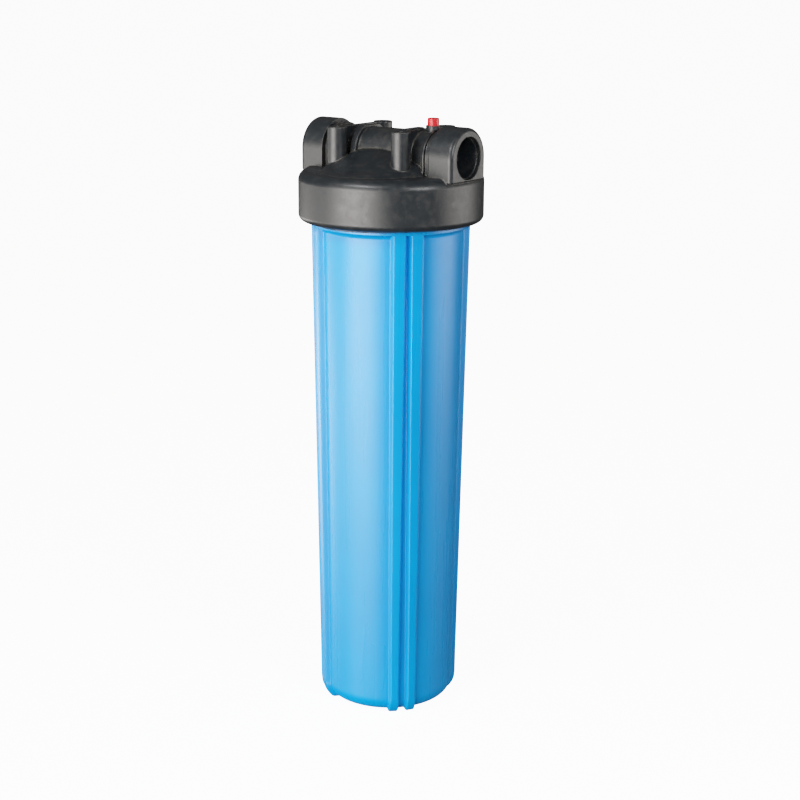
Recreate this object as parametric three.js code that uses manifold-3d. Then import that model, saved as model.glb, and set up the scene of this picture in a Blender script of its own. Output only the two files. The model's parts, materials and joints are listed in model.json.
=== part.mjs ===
// A 20-inch jumbo cartridge filter housing: a blue sump with four pairs of ribs, a black screw-on head
// with two side ports and a pressure-relief button, and the pleated cartridge that the sump holds.
// Millimetres, +Z up. The origin is the centre of the base, the ports lie on the X axis, and the
// inlet port, with the relief button beside it, is on the +X side.

import * as THREE from "three";
import { mergeVertices } from "three/addons/utils/BufferGeometryUtils.js";
import Module from "manifold-3d";

const wasm = await Module();
wasm.setup();

// ---------------------------------------------------------------- driving dimensions
const GAP = 0.3; // between pieces that touch on the real object
const ROUND_STEPS = 40; // facets round the large diameters
const SMALL_STEPS = 20; // facets round bosses, bores and small pieces
const CUT_OVERRUN = 1; // how far a cutting tool reaches past the face it opens

// Sump
const SUMP_UNDERSIDE_Z = 0.6; // the ribs' feet stand lower, at z = 0
const SUMP_UNDERSIDE_RISE = 2; // how much higher the middle of the underside is
const SUMP_CORNER_RADIUS = 14.8;
const SUMP_CORNER_Z = SUMP_UNDERSIDE_Z + SUMP_CORNER_RADIUS; // where the bottom corner meets the wall
const SUMP_WALL_RADIUS_LOW = 66.4;
const SUMP_WALL_RADIUS_HIGH = 73;
const SUMP_WALL = 6.5;
const SUMP_FLOOR_Z = 9;
const WALL_TOP_Z = 494;
const COLLAR_Z = 498; // lower edge of the collar under the head
const COLLAR_RADIUS = 79;
const NECK_BORE_RADIUS = 70;
const NECK_BORE_LOW_Z = 506;
const RIM_Z = 540.8;
const SMALL_BEVEL = 1;

// Seat that the cartridge's lower gasket stands on, and the spigot inside it
const SEAT_FOOT_RADIUS = 21;
const SEAT_RING_RADII = [15.4, 17.6];
const SPIGOT_ROOT_RADIUS = 13;
const SPIGOT_RADIUS = 12.4;
const SPIGOT_TIP_RADIUS = 10;
const SPIGOT_SHOULDER_Z = 34;
const SPIGOT_TIP_Z = 38;

// Ribs on the sump
const RIB_PAIRS = 4;
const FIRST_PAIR_ANGLE = THREE.MathUtils.degToRad(-41);
const RIB_SPACING = 18;
const RIB_WIDTH_LOW = 6.9;
const RIB_WIDTH_HIGH = 10.9;
const RIB_HEIGHT_LOW = 4.3;
const RIB_SIDE_SLOPE = 0.58; // sideways growth of a rib for each millimetre of its height
const RIB_BURIED = 2; // how far a rib's root lies inside the wall
const RIB_FOOT_INSET = 4; // how far a rib's foot reaches in from the bottom corner's centre

// Screw thread between the sump and the head
const THREAD_LEAD = 8;
const THREAD_TURNS = 2.5;
const MALE_START_Z = 509;
const MALE_CREST_RADIUS = 82.2;
const FEMALE_START_Z = 507;
const FEMALE_START_ANGLE = Math.PI / 2;
const FEMALE_CREST_RADIUS = 79.9;
const FEMALE_ROOT_RADIUS = 83;
const MALE_ROOT_WIDTH = 4.7;
const FEMALE_ROOT_WIDTH = 4.2;
const THREAD_CREST_WIDTH = 2.6;

// Head
const HEAD_RADIUS = 92;
const SKIRT_LOW_Z = 502.4;
const SKIRT_LOW_ROUND = 6.4;
const SHOULDER_Z = 552;
const SHOULDER_ROUND = 7;
const SEAT_Z = 541.5; // the face inside the head that presses on the large O-ring
const HEAD_BORE_RADIUS = 68;
const HEAD_BORE_CHAMFER = 3;
const CAVITY_TOP_Z = 550.7; // how high the blocks, flanges and bosses keep clear under the dome
const DOME_WALL = 7.5;
const DOME_OUTLINE = [
  [84, SHOULDER_Z],
  [63, 557],
  [53, 560.2],
  [39, 569],
  [30, 573],
  [0, 575],
]; // radius and height
const PORT_Z = 569.5;
const PORT_HALF_WIDTH = 28.8;
const PORT_EDGE_ROUND = 3.2;
const PORT_BLOCK_INNER_X = 64.4;
const FLANGE_X = [54.4, 58.8];
const FLANGE_HALF_WIDTH = 26;
const FLANGE_SUNK = 4; // how far a flange reaches into the shoulder
const COLLAR_X = [23.6, 30];
const COLLAR_HALF_WIDTH = 27.5;
const CORE_INNER_X = 10; // where the plastic under the pipe starts
const PIPE_RADIUS = 23;
const PIPE_STEPS = 24; // facets round the pipe and the ring seats
const COUNTERBORE_RADIUS = 20.3;
const COUNTERBORE_DEPTH = 3;
const PORT_BORE_RADIUS = 16.6;
const PORT_BORE_DEPTH = 25;
const PASSAGE_RADIUS = 14;
const OUTLET_PASSAGE_END_X = 4;
const INLET_DROP_RADIUS = 11;
const STANDPIPE_RADIUS = 18;
const STANDPIPE_BORE_RADIUS = 13;
const STANDPIPE_TIP_Z = 534; // where the narrower lip that presses on the upper gasket starts
const STANDPIPE_LIP_RADII = [15.6, 17.4];
const STANDPIPE_LIP_ROOT_RADIUS = 14.4;
const BOSS_X = 38.7;
const BOSS_Y = 37.6;
const BOSS_RADIUS = 9.4;
const BOSS_TOP_Z = 594.5;
const BOSS_HOLE_RADIUS = 2.8;
const BOSS_HOLE_DEPTH = 22;
const WEB_THICKNESS = 3.5;

// Pressure-relief valve
const RELIEF_X = 50;
const BUTTON_RADIUS = 4.95;
const BUTTON_Z = [594.2, 605.3];
const BUTTON_POCKET_Z = 600.2;
const CUP_RADIUS = 6.7;
const CUP_BORE_RADIUS = 5.4;
const CUP_Z = [590.6, 595.8];
const SPRING_POCKET_RADIUS = 3.9;
const SPRING_POCKET_Z = 588;
const STEM_RADIUS = 1.4;
const STEM_HOLE_RADIUS = 2;
const STEM_SUNK = 0.8; // how deep the stem's foot sits in the valve disc
const STEM_SOCKET = 3; // how far the stem's tip reaches into the button
const BUTTON_EDGE = 1.2;
const SMALLEST_STEPS = 16;
const SPRING_COIL_RADIUS = 2.9;
const SPRING_WIRE_RADIUS = 0.4;
const SPRING_TURNS = 5;
const VALVE_DISC_RADIUS = 3.8;
const VALVE_DISC_Z = [578.6, 581.2];
const RELIEF_RING_SECTION = 0.8;

// Large O-ring in the groove of the rim
const O_RING_RADIUS = 75;
const O_RING_SECTION = 2.15;
const GROOVE_HALF_WIDTH = 2.6;

// Cartridge
const CARTRIDGE_LOW_Z = 22;
const CARTRIDGE_LENGTH = 508;
const CARTRIDGE_RADIUS = 57;
const CARTRIDGE_HOLE_RADIUS = 14.5;
const GASKET_THICKNESS = 3;
const GASKET_RADIUS = 25;
const END_CAP_THICKNESS = 9;
const CORE_RADIUS = 17.2;
const CORE_WALL = 2.2;
const PLEATS = 40;
const PLEAT_ROOT_RADIUS = 18.4;
const PLEAT_TIP_RADIUS = 55;
const PLEAT_THICKNESS = 0.8;
const PLEAT_OUTWARD = 0.25; // shares of the cloth's slanting thickness outside and inside the fold line
const PLEAT_INWARD = 0.1;
const SLOT_ROWS = 5;
const SLOTS_ROUND = 4;
const SLOT_SIZE = [8, 18]; // across and along the tube

// ---------------------------------------------------------------- materials
const plastic = (color, roughness) => new THREE.MeshStandardMaterial({ color, roughness, metalness: 0 });
const metal = (color, roughness) => new THREE.MeshStandardMaterial({ color, roughness, metalness: 1 });
const BLUE_PLASTIC = plastic(0x0a8fd4, 0.35);
const BLACK_PLASTIC = plastic(0x24272a, 0.5);
const RED_PLASTIC = plastic(0xd8282c, 0.35);
const WHITE_PLASTIC = plastic(0xe6e8e6, 0.5);
const BLACK_RUBBER = plastic(0x151515, 0.8);
const PLEAT_CLOTH = plastic(0xf0f1ee, 0.9);
const STAINLESS = metal(0xb9bcc0, 0.3);

// ---------------------------------------------------------------- solids
// A closed three.js geometry as a solid that can be joined and cut.
function solid(geometry) {
  const plain = geometry.index ? geometry.toNonIndexed() : geometry.clone();
  plain.deleteAttribute("normal");
  plain.deleteAttribute("uv");
  const merged = mergeVertices(plain, 1e-4);
  const corners = merged.index.array;
  const kept = [];
  for (let i = 0; i < corners.length; i += 3) {
    const [a, b, c] = [corners[i], corners[i + 1], corners[i + 2]];
    if (a !== b && b !== c && c !== a) kept.push(a, b, c);
  }
  const vertProperties = merged.attributes.position.array;
  const outward = new wasm.Manifold(
    new wasm.Mesh({ numProp: 3, vertProperties, triVerts: new Uint32Array(kept) }),
  );
  if (outward.volume() > 0) return outward;
  const turned = kept.map((_, i) => kept[i - (i % 3) + [0, 2, 1][i % 3]]);
  return new wasm.Manifold(
    new wasm.Mesh({ numProp: 3, vertProperties, triVerts: new Uint32Array(turned) }),
  );
}

function namedMesh(name, shape, material) {
  const { vertProperties, triVerts } = shape.getMesh();
  const geometry = new THREE.BufferGeometry();
  geometry.setAttribute("position", new THREE.BufferAttribute(new Float32Array(vertProperties), 3));
  geometry.setIndex(new THREE.BufferAttribute(new Uint32Array(triVerts), 1));
  geometry.computeVertexNormals();
  const mesh = new THREE.Mesh(geometry, material);
  mesh.name = name;
  return mesh;
}

// A solid of revolution about Z from an outline of [radius, z] points, which starts and ends on the
// axis or is closed here.
function turned(outline, steps = ROUND_STEPS) {
  const points = outline.map(([radius, z]) => new THREE.Vector2(radius, z));
  const startsOnAxis = points[0].x === 0;
  if (!startsOnAxis) points.push(points[0].clone());
  return solid(new THREE.LatheGeometry(points, steps).rotateX(Math.PI / 2));
}

// Points of an arc in the radius-z plane, from one angle to another in degrees.
function arc(radius, z, size, from, to, steps = 4) {
  return Array.from({ length: steps + 1 }, (_, i) => {
    const angle = THREE.MathUtils.degToRad(from + ((to - from) * i) / steps);
    return [radius + size * Math.cos(angle), z + size * Math.sin(angle)];
  });
}

function uprightCylinder(x, y, radius, lowZ, highZ, steps = SMALL_STEPS) {
  const shape = new THREE.CylinderGeometry(radius, radius, highZ - lowZ, steps);
  return solid(shape.rotateX(Math.PI / 2).translate(x, y, (lowZ + highZ) / 2));
}

// A cylinder along X at the height of the ports.
function portCylinder(radius, fromX, toX, steps = PIPE_STEPS) {
  const shape = new THREE.CylinderGeometry(radius, radius, toX - fromX, steps);
  return solid(shape.rotateZ(Math.PI / 2).translate((fromX + toX) / 2, 0, PORT_Z));
}

function box(fromCorner, toCorner) {
  const [x0, y0, z0] = fromCorner;
  const [x1, y1, z1] = toCorner;
  const shape = new THREE.BoxGeometry(x1 - x0, y1 - y0, z1 - z0);
  return solid(shape.translate((x0 + x1) / 2, (y0 + y1) / 2, (z0 + z1) / 2));
}

// A ring of round section about Z.
function roundRing(radius, section, z, steps = ROUND_STEPS, sides = 8) {
  return solid(new THREE.TorusGeometry(radius, section, sides, steps).translate(0, 0, z));
}

function join(...shapes) {
  return shapes.reduce((whole, next) => whole.add(next));
}

function cut(shape, ...tools) {
  return tools.reduce((left, tool) => left.subtract(tool), shape);
}

// A closed skin through rings of points that all have the same number of points.
function loft(rings) {
  const size = rings[0].length;
  const last = rings.length - 1;
  const at = (ring, point) => ring * size + (point % size);
  const index = [];
  for (let ring = 0; ring < last; ring++) {
    for (let point = 0; point < size; point++) {
      const [a, b] = [at(ring, point), at(ring, point + 1)];
      const [c, d] = [at(ring + 1, point), at(ring + 1, point + 1)];
      index.push(a, b, d, a, d, c);
    }
  }
  for (let point = 1; point < size - 1; point++) {
    index.push(at(0, 0), at(0, point + 1), at(0, point));
    index.push(at(last, 0), at(last, point), at(last, point + 1));
  }
  const geometry = new THREE.BufferGeometry();
  geometry.setAttribute("position", new THREE.Float32BufferAttribute(rings.flat(2), 3));
  geometry.setIndex(index);
  return solid(geometry);
}

// One helical thread ridge. Its profile is given at two radii, each with an axial width.
function threadRidge(startAngle, startZ, base, crest) {
  const steps = THREAD_TURNS * ROUND_STEPS;
  const rings = [];
  for (let i = 0; i <= steps; i++) {
    const angle = startAngle + (i * 2 * Math.PI) / ROUND_STEPS;
    const z = startZ + (THREAD_LEAD * i) / ROUND_STEPS;
    const corners = [
      [base.radius, -base.width / 2],
      [crest.radius, -crest.width / 2],
      [crest.radius, crest.width / 2],
      [base.radius, base.width / 2],
    ];
    rings.push(corners.map(([radius, up]) => [radius * Math.cos(angle), radius * Math.sin(angle), z + up]));
  }
  return loft(rings);
}

// ---------------------------------------------------------------- sump
const wallRadius = (z) =>
  THREE.MathUtils.mapLinear(z, SUMP_CORNER_Z, WALL_TOP_Z, SUMP_WALL_RADIUS_LOW, SUMP_WALL_RADIUS_HIGH);

function sumpShell() {
  const cornerRadius = SUMP_WALL_RADIUS_LOW - SUMP_CORNER_RADIUS;
  const outside = [
    [0, SUMP_UNDERSIDE_Z + SUMP_UNDERSIDE_RISE],
    ...arc(cornerRadius, SUMP_CORNER_Z, SUMP_CORNER_RADIUS, -90, 0, 6),
    [SUMP_WALL_RADIUS_HIGH, WALL_TOP_Z],
    [COLLAR_RADIUS - SMALL_BEVEL, COLLAR_Z - SMALL_BEVEL],
    [COLLAR_RADIUS, COLLAR_Z],
    [COLLAR_RADIUS, RIM_Z - SMALL_BEVEL],
    [COLLAR_RADIUS - SMALL_BEVEL, RIM_Z],
  ];
  const grooveFloor = SEAT_Z - 2 * GAP - 2 * O_RING_SECTION;
  const groove = [
    [O_RING_RADIUS + GROOVE_HALF_WIDTH, RIM_Z],
    [O_RING_RADIUS + GROOVE_HALF_WIDTH, grooveFloor],
    [O_RING_RADIUS - GROOVE_HALF_WIDTH, grooveFloor],
    [O_RING_RADIUS - GROOVE_HALF_WIDTH, RIM_Z],
  ];
  const insideCorner = SUMP_CORNER_RADIUS - SUMP_WALL;
  const inside = [
    [NECK_BORE_RADIUS, RIM_Z],
    [NECK_BORE_RADIUS, NECK_BORE_LOW_Z],
    [wallRadius(WALL_TOP_Z) - SUMP_WALL, WALL_TOP_Z],
    ...arc(cornerRadius, SUMP_FLOOR_Z + insideCorner, insideCorner, 0, -90, 3),
    [0, SUMP_FLOOR_Z],
  ];
  return turned([...outside, ...groove, ...inside]);
}

// The ring that the lower gasket seats on, and the spigot that centres the cartridge.
function cartridgeSeat() {
  const seatTop = CARTRIDGE_LOW_Z - GAP;
  const sunk = SUMP_FLOOR_Z - 2;
  const moat = SUMP_FLOOR_Z + 3;
  const [ringInner, ringOuter] = SEAT_RING_RADII;
  return turned(
    [
      [0, sunk],
      [SEAT_FOOT_RADIUS, sunk],
      [ringOuter, seatTop],
      [ringInner, seatTop],
      [ringInner, moat],
      [SPIGOT_ROOT_RADIUS, moat],
      [SPIGOT_RADIUS, SPIGOT_SHOULDER_Z],
      [SPIGOT_TIP_RADIUS, SPIGOT_TIP_Z],
      [0, SPIGOT_TIP_Z],
    ],
    PIPE_STEPS,
  );
}

// One rib, from its foot at z = 0 to the collar. The sections are given as the radius and height of
// the rib's face, and of the line inside the wall where the rib starts.
function rib(pairAngle, side) {
  const cornerRadius = SUMP_WALL_RADIUS_LOW - SUMP_CORNER_RADIUS;
  const faceArc = SUMP_CORNER_RADIUS + RIB_HEIGHT_LOW;
  const footAngle = -THREE.MathUtils.radToDeg(Math.asin(SUMP_CORNER_Z / faceArc));
  const footRadius = cornerRadius - RIB_FOOT_INSET;
  const footRoot = SUMP_UNDERSIDE_Z + RIB_BURIED;
  const topRoot = wallRadius(COLLAR_Z) - RIB_BURIED;
  const faces = arc(cornerRadius, SUMP_CORNER_Z, faceArc, footAngle, 0, 4);
  const roots = arc(cornerRadius, SUMP_CORNER_Z, SUMP_CORNER_RADIUS - RIB_BURIED, footAngle, 0, 4);
  const sections = [
    { face: [footRadius, 0], root: [footRadius, footRoot], height: RIB_BURIED },
    ...faces.map((face, i) => ({ face, root: roots[i], height: RIB_HEIGHT_LOW })),
    {
      face: [COLLAR_RADIUS, COLLAR_Z],
      root: [topRoot, COLLAR_Z],
      height: COLLAR_RADIUS - SUMP_WALL_RADIUS_HIGH,
    },
    {
      face: [COLLAR_RADIUS - SMALL_BEVEL / 2, COLLAR_Z + SMALL_BEVEL],
      root: [topRoot, COLLAR_Z + SMALL_BEVEL],
      height: COLLAR_RADIUS - SUMP_WALL_RADIUS_HIGH,
    },
  ];
  const point = (radius, z, along, faceRadius) => {
    const angle = pairAngle + ((side * RIB_SPACING) / 2 + along) / faceRadius;
    return [radius * Math.cos(angle), radius * Math.sin(angle), z];
  };
  const rings = sections.map(({ face, root, height }) => {
    const width = THREE.MathUtils.mapLinear(face[1], 0, COLLAR_Z, RIB_WIDTH_LOW, RIB_WIDTH_HIGH);
    const half = width / 2;
    const rootHalf = half + (height + RIB_BURIED) * RIB_SIDE_SLOPE;
    return [
      point(root[0], root[1], -rootHalf, face[0]),
      point(face[0], face[1], -half, face[0]),
      point(face[0], face[1], half, face[0]),
      point(root[0], root[1], rootHalf, face[0]),
    ];
  });
  return loft(rings);
}

function sump() {
  const ribs = [];
  for (let pair = 0; pair < RIB_PAIRS; pair++) {
    const angle = FIRST_PAIR_ANGLE + (pair * 2 * Math.PI) / RIB_PAIRS;
    ribs.push(rib(angle, -1), rib(angle, 1));
  }
  const ridge = threadRidge(
    0,
    MALE_START_Z,
    { radius: COLLAR_RADIUS - SMALL_BEVEL, width: MALE_ROOT_WIDTH },
    { radius: MALE_CREST_RADIUS, width: THREAD_CREST_WIDTH },
  );
  return join(sumpShell(), cartridgeSeat(), ridge, ...ribs);
}

// ---------------------------------------------------------------- head
function headShell() {
  const skirtLowRoundZ = SKIRT_LOW_Z + SKIRT_LOW_ROUND;
  const outside = [
    [FEMALE_ROOT_RADIUS + SMALL_BEVEL, SKIRT_LOW_Z],
    ...arc(HEAD_RADIUS - SKIRT_LOW_ROUND, skirtLowRoundZ, SKIRT_LOW_ROUND, -90, 0, 3),
    ...arc(HEAD_RADIUS - SHOULDER_ROUND, SHOULDER_Z - SHOULDER_ROUND, SHOULDER_ROUND, 0, 90, 3),
    ...DOME_OUTLINE,
  ];
  const ceiling = DOME_OUTLINE.filter(([radius]) => radius < HEAD_BORE_RADIUS - DOME_WALL)
    .map(([radius, z]) => [radius, z - DOME_WALL])
    .reverse();
  const inside = [
    ...ceiling,
    [HEAD_BORE_RADIUS - HEAD_BORE_CHAMFER, ceiling.at(-1)[1] - 2],
    [HEAD_BORE_RADIUS, SEAT_Z + HEAD_BORE_CHAMFER],
    [HEAD_BORE_RADIUS, SEAT_Z],
    [FEMALE_ROOT_RADIUS, SEAT_Z],
    [FEMALE_ROOT_RADIUS, SKIRT_LOW_Z + SMALL_BEVEL],
  ];
  return turned([...outside, ...inside]);
}

// A plate across X with a half-round top, from one x to another, standing on the shoulder.
function archedPlate(fromX, toX, halfWidth, lowZ, edgeRound = 0) {
  const half = halfWidth - edgeRound;
  const outline = new THREE.Shape();
  outline.moveTo(-half, lowZ - PORT_Z);
  outline.lineTo(half, lowZ - PORT_Z);
  outline.lineTo(half, 0);
  outline.absarc(0, 0, half, 0, Math.PI, false);
  outline.closePath();
  const shape = new THREE.ExtrudeGeometry(outline, {
    depth: toX - fromX - 2 * edgeRound,
    bevelEnabled: edgeRound > 0,
    bevelThickness: edgeRound,
    bevelSize: edgeRound,
    bevelSegments: 1,
    curveSegments: 12,
  });
  shape.rotateX(Math.PI / 2).rotateZ(Math.PI / 2);
  return solid(shape.translate(fromX + edgeRound, 0, PORT_Z));
}

// What stands on one side of the head: the port block, its inner flange, a collar round the pipe that
// is cut flat on top, and two bosses with their web.
function portSide() {
  const blockFoot = SHOULDER_Z - SHOULDER_ROUND + PORT_EDGE_ROUND;
  const longer = 2 * PORT_EDGE_ROUND; // makes the block long enough for its inner end to be cut flat
  const block = cut(
    archedPlate(PORT_BLOCK_INNER_X - longer, HEAD_RADIUS, PORT_HALF_WIDTH, blockFoot, PORT_EDGE_ROUND),
    box([0, -HEAD_RADIUS, SKIRT_LOW_Z], [PORT_BLOCK_INNER_X, HEAD_RADIUS, PORT_Z + HEAD_RADIUS]),
  );
  const flange = archedPlate(FLANGE_X[0], FLANGE_X[1], FLANGE_HALF_WIDTH, SHOULDER_Z - FLANGE_SUNK);
  const core = archedPlate(CORE_INNER_X, PORT_BLOCK_INNER_X + FLANGE_SUNK, PIPE_RADIUS, SHOULDER_Z);
  const collar = cut(
    archedPlate(COLLAR_X[0], COLLAR_X[1], COLLAR_HALF_WIDTH, SHOULDER_Z - FLANGE_SUNK),
    box([0, -HEAD_RADIUS, BOSS_TOP_Z], [HEAD_RADIUS, HEAD_RADIUS, PORT_Z + HEAD_RADIUS]),
  );
  const web = box(
    [BOSS_X - WEB_THICKNESS / 2, -BOSS_Y, SHOULDER_Z],
    [BOSS_X + WEB_THICKNESS / 2, BOSS_Y, BOSS_TOP_Z],
  );
  const bosses = [-BOSS_Y, BOSS_Y].map((y) =>
    uprightCylinder(BOSS_X, y, BOSS_RADIUS, SHOULDER_Z, BOSS_TOP_Z),
  );
  return join(block, flange, core, collar, web, ...bosses);
}

function portBores() {
  const boreEnd = HEAD_RADIUS - PORT_BORE_DEPTH;
  return join(
    portCylinder(COUNTERBORE_RADIUS, HEAD_RADIUS - COUNTERBORE_DEPTH, HEAD_RADIUS + CUT_OVERRUN),
    portCylinder(PORT_BORE_RADIUS, boreEnd, HEAD_RADIUS),
  );
}

const turnedRound = (shape) => shape.rotate([0, 0, 180]);

function head() {
  const side = portSide();
  const pipe = portCylinder(PIPE_RADIUS, -PORT_BLOCK_INNER_X, PORT_BLOCK_INNER_X);
  const lipZ = CARTRIDGE_LOW_Z + CARTRIDGE_LENGTH + GAP;
  const [lipInner, lipOuter] = STANDPIPE_LIP_RADII;
  const standpipe = turned(
    [
      [0, PORT_Z],
      [STANDPIPE_RADIUS, PORT_Z],
      [STANDPIPE_RADIUS, STANDPIPE_TIP_Z],
      [lipOuter, lipZ],
      [lipInner, lipZ],
      [STANDPIPE_LIP_ROOT_RADIUS, STANDPIPE_TIP_Z],
      [0, STANDPIPE_TIP_Z],
    ],
    PIPE_STEPS,
  );
  const ridge = threadRidge(
    FEMALE_START_ANGLE,
    FEMALE_START_Z,
    { radius: FEMALE_ROOT_RADIUS + SMALL_BEVEL / 2, width: FEMALE_ROOT_WIDTH },
    { radius: FEMALE_CREST_RADIUS, width: THREAD_CREST_WIDTH },
  );
  // The blocks, flanges and bosses keep out of the space under the dome.
  const cavity = turned([
    [0, WALL_TOP_Z],
    [FEMALE_ROOT_RADIUS, WALL_TOP_Z],
    [FEMALE_ROOT_RADIUS, SEAT_Z],
    [HEAD_BORE_RADIUS, SEAT_Z],
    [HEAD_BORE_RADIUS, SEAT_Z + HEAD_BORE_CHAMFER],
    [HEAD_BORE_RADIUS - HEAD_BORE_CHAMFER, CAVITY_TOP_Z],
    [0, CAVITY_TOP_Z],
  ]);
  const cup = uprightCylinder(RELIEF_X, 0, CUP_RADIUS, PORT_Z + PASSAGE_RADIUS + 2, CUP_Z[1]);
  const whole = join(
    cut(join(headShell(), side, turnedRound(side), cup), cavity),
    pipe,
    standpipe,
    ridge,
  );
  const outletPassage = portCylinder(PASSAGE_RADIUS, -HEAD_RADIUS, OUTLET_PASSAGE_END_X);
  const inletPassage = portCylinder(PASSAGE_RADIUS, RELIEF_X - INLET_DROP_RADIUS, HEAD_RADIUS);
  const bores = portBores();
  const bossHole = (x, y) =>
    uprightCylinder(
      x, y, BOSS_HOLE_RADIUS, BOSS_TOP_Z - BOSS_HOLE_DEPTH, BOSS_TOP_Z + CUT_OVERRUN, SMALLEST_STEPS,
    );
  const bossHoles = [-BOSS_X, BOSS_X].flatMap((x) => [-BOSS_Y, BOSS_Y].map((y) => bossHole(x, y)));
  return cut(
    whole,
    bores,
    turnedRound(bores),
    outletPassage,
    inletPassage,
    uprightCylinder(0, 0, STANDPIPE_BORE_RADIUS, lipZ - CUT_OVERRUN, PORT_Z),
    uprightCylinder(RELIEF_X, 0, INLET_DROP_RADIUS, SEAT_Z - CUT_OVERRUN, PORT_Z),
    uprightCylinder(RELIEF_X, 0, CUP_BORE_RADIUS, CUP_Z[0], CUP_Z[1] + CUT_OVERRUN),
    uprightCylinder(RELIEF_X, 0, SPRING_POCKET_RADIUS, SPRING_POCKET_Z, CUP_Z[0] + CUT_OVERRUN),
    uprightCylinder(RELIEF_X, 0, STEM_HOLE_RADIUS, PORT_Z, SPRING_POCKET_Z + CUT_OVERRUN, SMALLEST_STEPS),
    ...bossHoles,
  );
}

// ---------------------------------------------------------------- relief valve, about its own axis
function reliefButton() {
  const [low, high] = BUTTON_Z;
  return turned(
    [
      [SPRING_POCKET_RADIUS, low],
      [BUTTON_RADIUS, low],
      ...arc(BUTTON_RADIUS - BUTTON_EDGE, high - BUTTON_EDGE, BUTTON_EDGE, 0, 90, 3),
      [0, high],
      [0, BUTTON_POCKET_Z + STEM_SOCKET],
      [STEM_RADIUS + GAP, BUTTON_POCKET_Z + STEM_SOCKET],
      [STEM_RADIUS + GAP, BUTTON_POCKET_Z],
      [SPRING_POCKET_RADIUS, BUTTON_POCKET_Z],
    ],
    SMALL_STEPS,
  );
}

function reliefStem() {
  return turned(
    [
      [0, VALVE_DISC_Z[0] + STEM_SUNK],
      [STEM_RADIUS, VALVE_DISC_Z[0] + STEM_SUNK],
      [STEM_RADIUS, BUTTON_POCKET_Z + STEM_SOCKET - GAP],
      [0, BUTTON_POCKET_Z + STEM_SOCKET - GAP],
    ],
    SMALLEST_STEPS,
  );
}

function valveDisc() {
  const [low, high] = VALVE_DISC_Z;
  return turned(
    [
      [0, low],
      [VALVE_DISC_RADIUS, low],
      [VALVE_DISC_RADIUS, high],
      [STEM_RADIUS + GAP, high],
      [STEM_RADIUS + GAP, low + STEM_SUNK - GAP],
      [0, low + STEM_SUNK - GAP],
    ],
    SMALL_STEPS,
  );
}

function reliefRing() {
  const radius = STEM_RADIUS + GAP + RELIEF_RING_SECTION;
  return roundRing(radius, RELIEF_RING_SECTION, VALVE_DISC_Z[1] + GAP + RELIEF_RING_SECTION, SMALL_STEPS);
}

class Helix extends THREE.Curve {
  constructor(radius, turns, lowZ, highZ) {
    super();
    Object.assign(this, { radius, turns, lowZ, highZ });
  }
  getPoint(t, target = new THREE.Vector3()) {
    const angle = 2 * Math.PI * this.turns * t;
    const z = THREE.MathUtils.lerp(this.lowZ, this.highZ, t);
    return target.set(this.radius * Math.cos(angle), this.radius * Math.sin(angle), z);
  }
}

function reliefSpring() {
  const lowZ = SPRING_POCKET_Z + GAP + SPRING_WIRE_RADIUS;
  const highZ = BUTTON_POCKET_Z - GAP - SPRING_WIRE_RADIUS;
  const wire = new THREE.Shape().absarc(0, 0, SPRING_WIRE_RADIUS, 0, 2 * Math.PI, false);
  const shape = new THREE.ExtrudeGeometry(wire, {
    extrudePath: new Helix(SPRING_COIL_RADIUS, SPRING_TURNS, lowZ, highZ),
    steps: SPRING_TURNS * 12,
    curveSegments: 3,
    bevelEnabled: false,
  });
  return solid(shape);
}

// ---------------------------------------------------------------- cartridge
function flatRing(innerRadius, outerRadius, lowZ, highZ, steps = ROUND_STEPS) {
  return turned(
    [
      [innerRadius, lowZ],
      [outerRadius, lowZ],
      [outerRadius, highZ],
      [innerRadius, highZ],
    ],
    steps,
  );
}

// Half of the slotted core tube.
function coreHalf(lowZ, highZ) {
  const tube = flatRing(CORE_RADIUS - CORE_WALL, CORE_RADIUS, lowZ, highZ, SMALL_STEPS);
  const [slotWidth, slotLength] = SLOT_SIZE;
  const reach = CORE_RADIUS + CUT_OVERRUN;
  const pitch = (highZ - lowZ) / SLOT_ROWS;
  const slots = [];
  for (let row = 0; row < SLOT_ROWS; row++) {
    for (let turn = 0; turn < SLOTS_ROUND / 2; turn++) {
      const z = lowZ + (row + 0.5) * pitch;
      const angle = (360 / SLOTS_ROUND) * turn + (row % 2) * (180 / SLOTS_ROUND);
      const slot = box(
        [-reach, -slotWidth / 2, z - slotLength / 2],
        [reach, slotWidth / 2, z + slotLength / 2],
      );
      slots.push(slot.rotate([0, 0, angle]));
    }
  }
  return cut(tube, ...slots);
}

// The pleated cloth: one closed zigzag wall round the core.
function pleats(lowZ, highZ) {
  const halfTurn = Math.PI / PLEATS;
  const zigzag = (offset) =>
    Array.from({ length: 2 * PLEATS }, (_, i) => {
      const radius = (i % 2 ? PLEAT_TIP_RADIUS : PLEAT_ROOT_RADIUS) + offset;
      return new THREE.Vector2(radius * Math.cos(i * halfTurn), radius * Math.sin(i * halfTurn));
    });
  const foldRun = (PLEAT_TIP_RADIUS - PLEAT_ROOT_RADIUS) / (PLEAT_TIP_RADIUS * halfTurn);
  const outline = new THREE.Shape(zigzag(PLEAT_THICKNESS * foldRun * PLEAT_OUTWARD));
  outline.holes.push(new THREE.Path(zigzag(-PLEAT_THICKNESS * foldRun * PLEAT_INWARD).reverse()));
  const shape = new THREE.ExtrudeGeometry(outline, { depth: highZ - lowZ, bevelEnabled: false });
  return solid(shape.translate(0, 0, lowZ));
}

// ---------------------------------------------------------------- assembly
const housing = new THREE.Group();
housing.name = "cartridge_filter_housing";

function add(name, shape, material, parent = housing) {
  parent.add(namedMesh(name, shape, material));
}

add("sump", sump(), BLUE_PLASTIC);
add("head", head(), BLACK_PLASTIC);
add("main_o_ring", roundRing(O_RING_RADIUS, O_RING_SECTION, SEAT_Z - GAP - O_RING_SECTION), BLACK_RUBBER);

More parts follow.
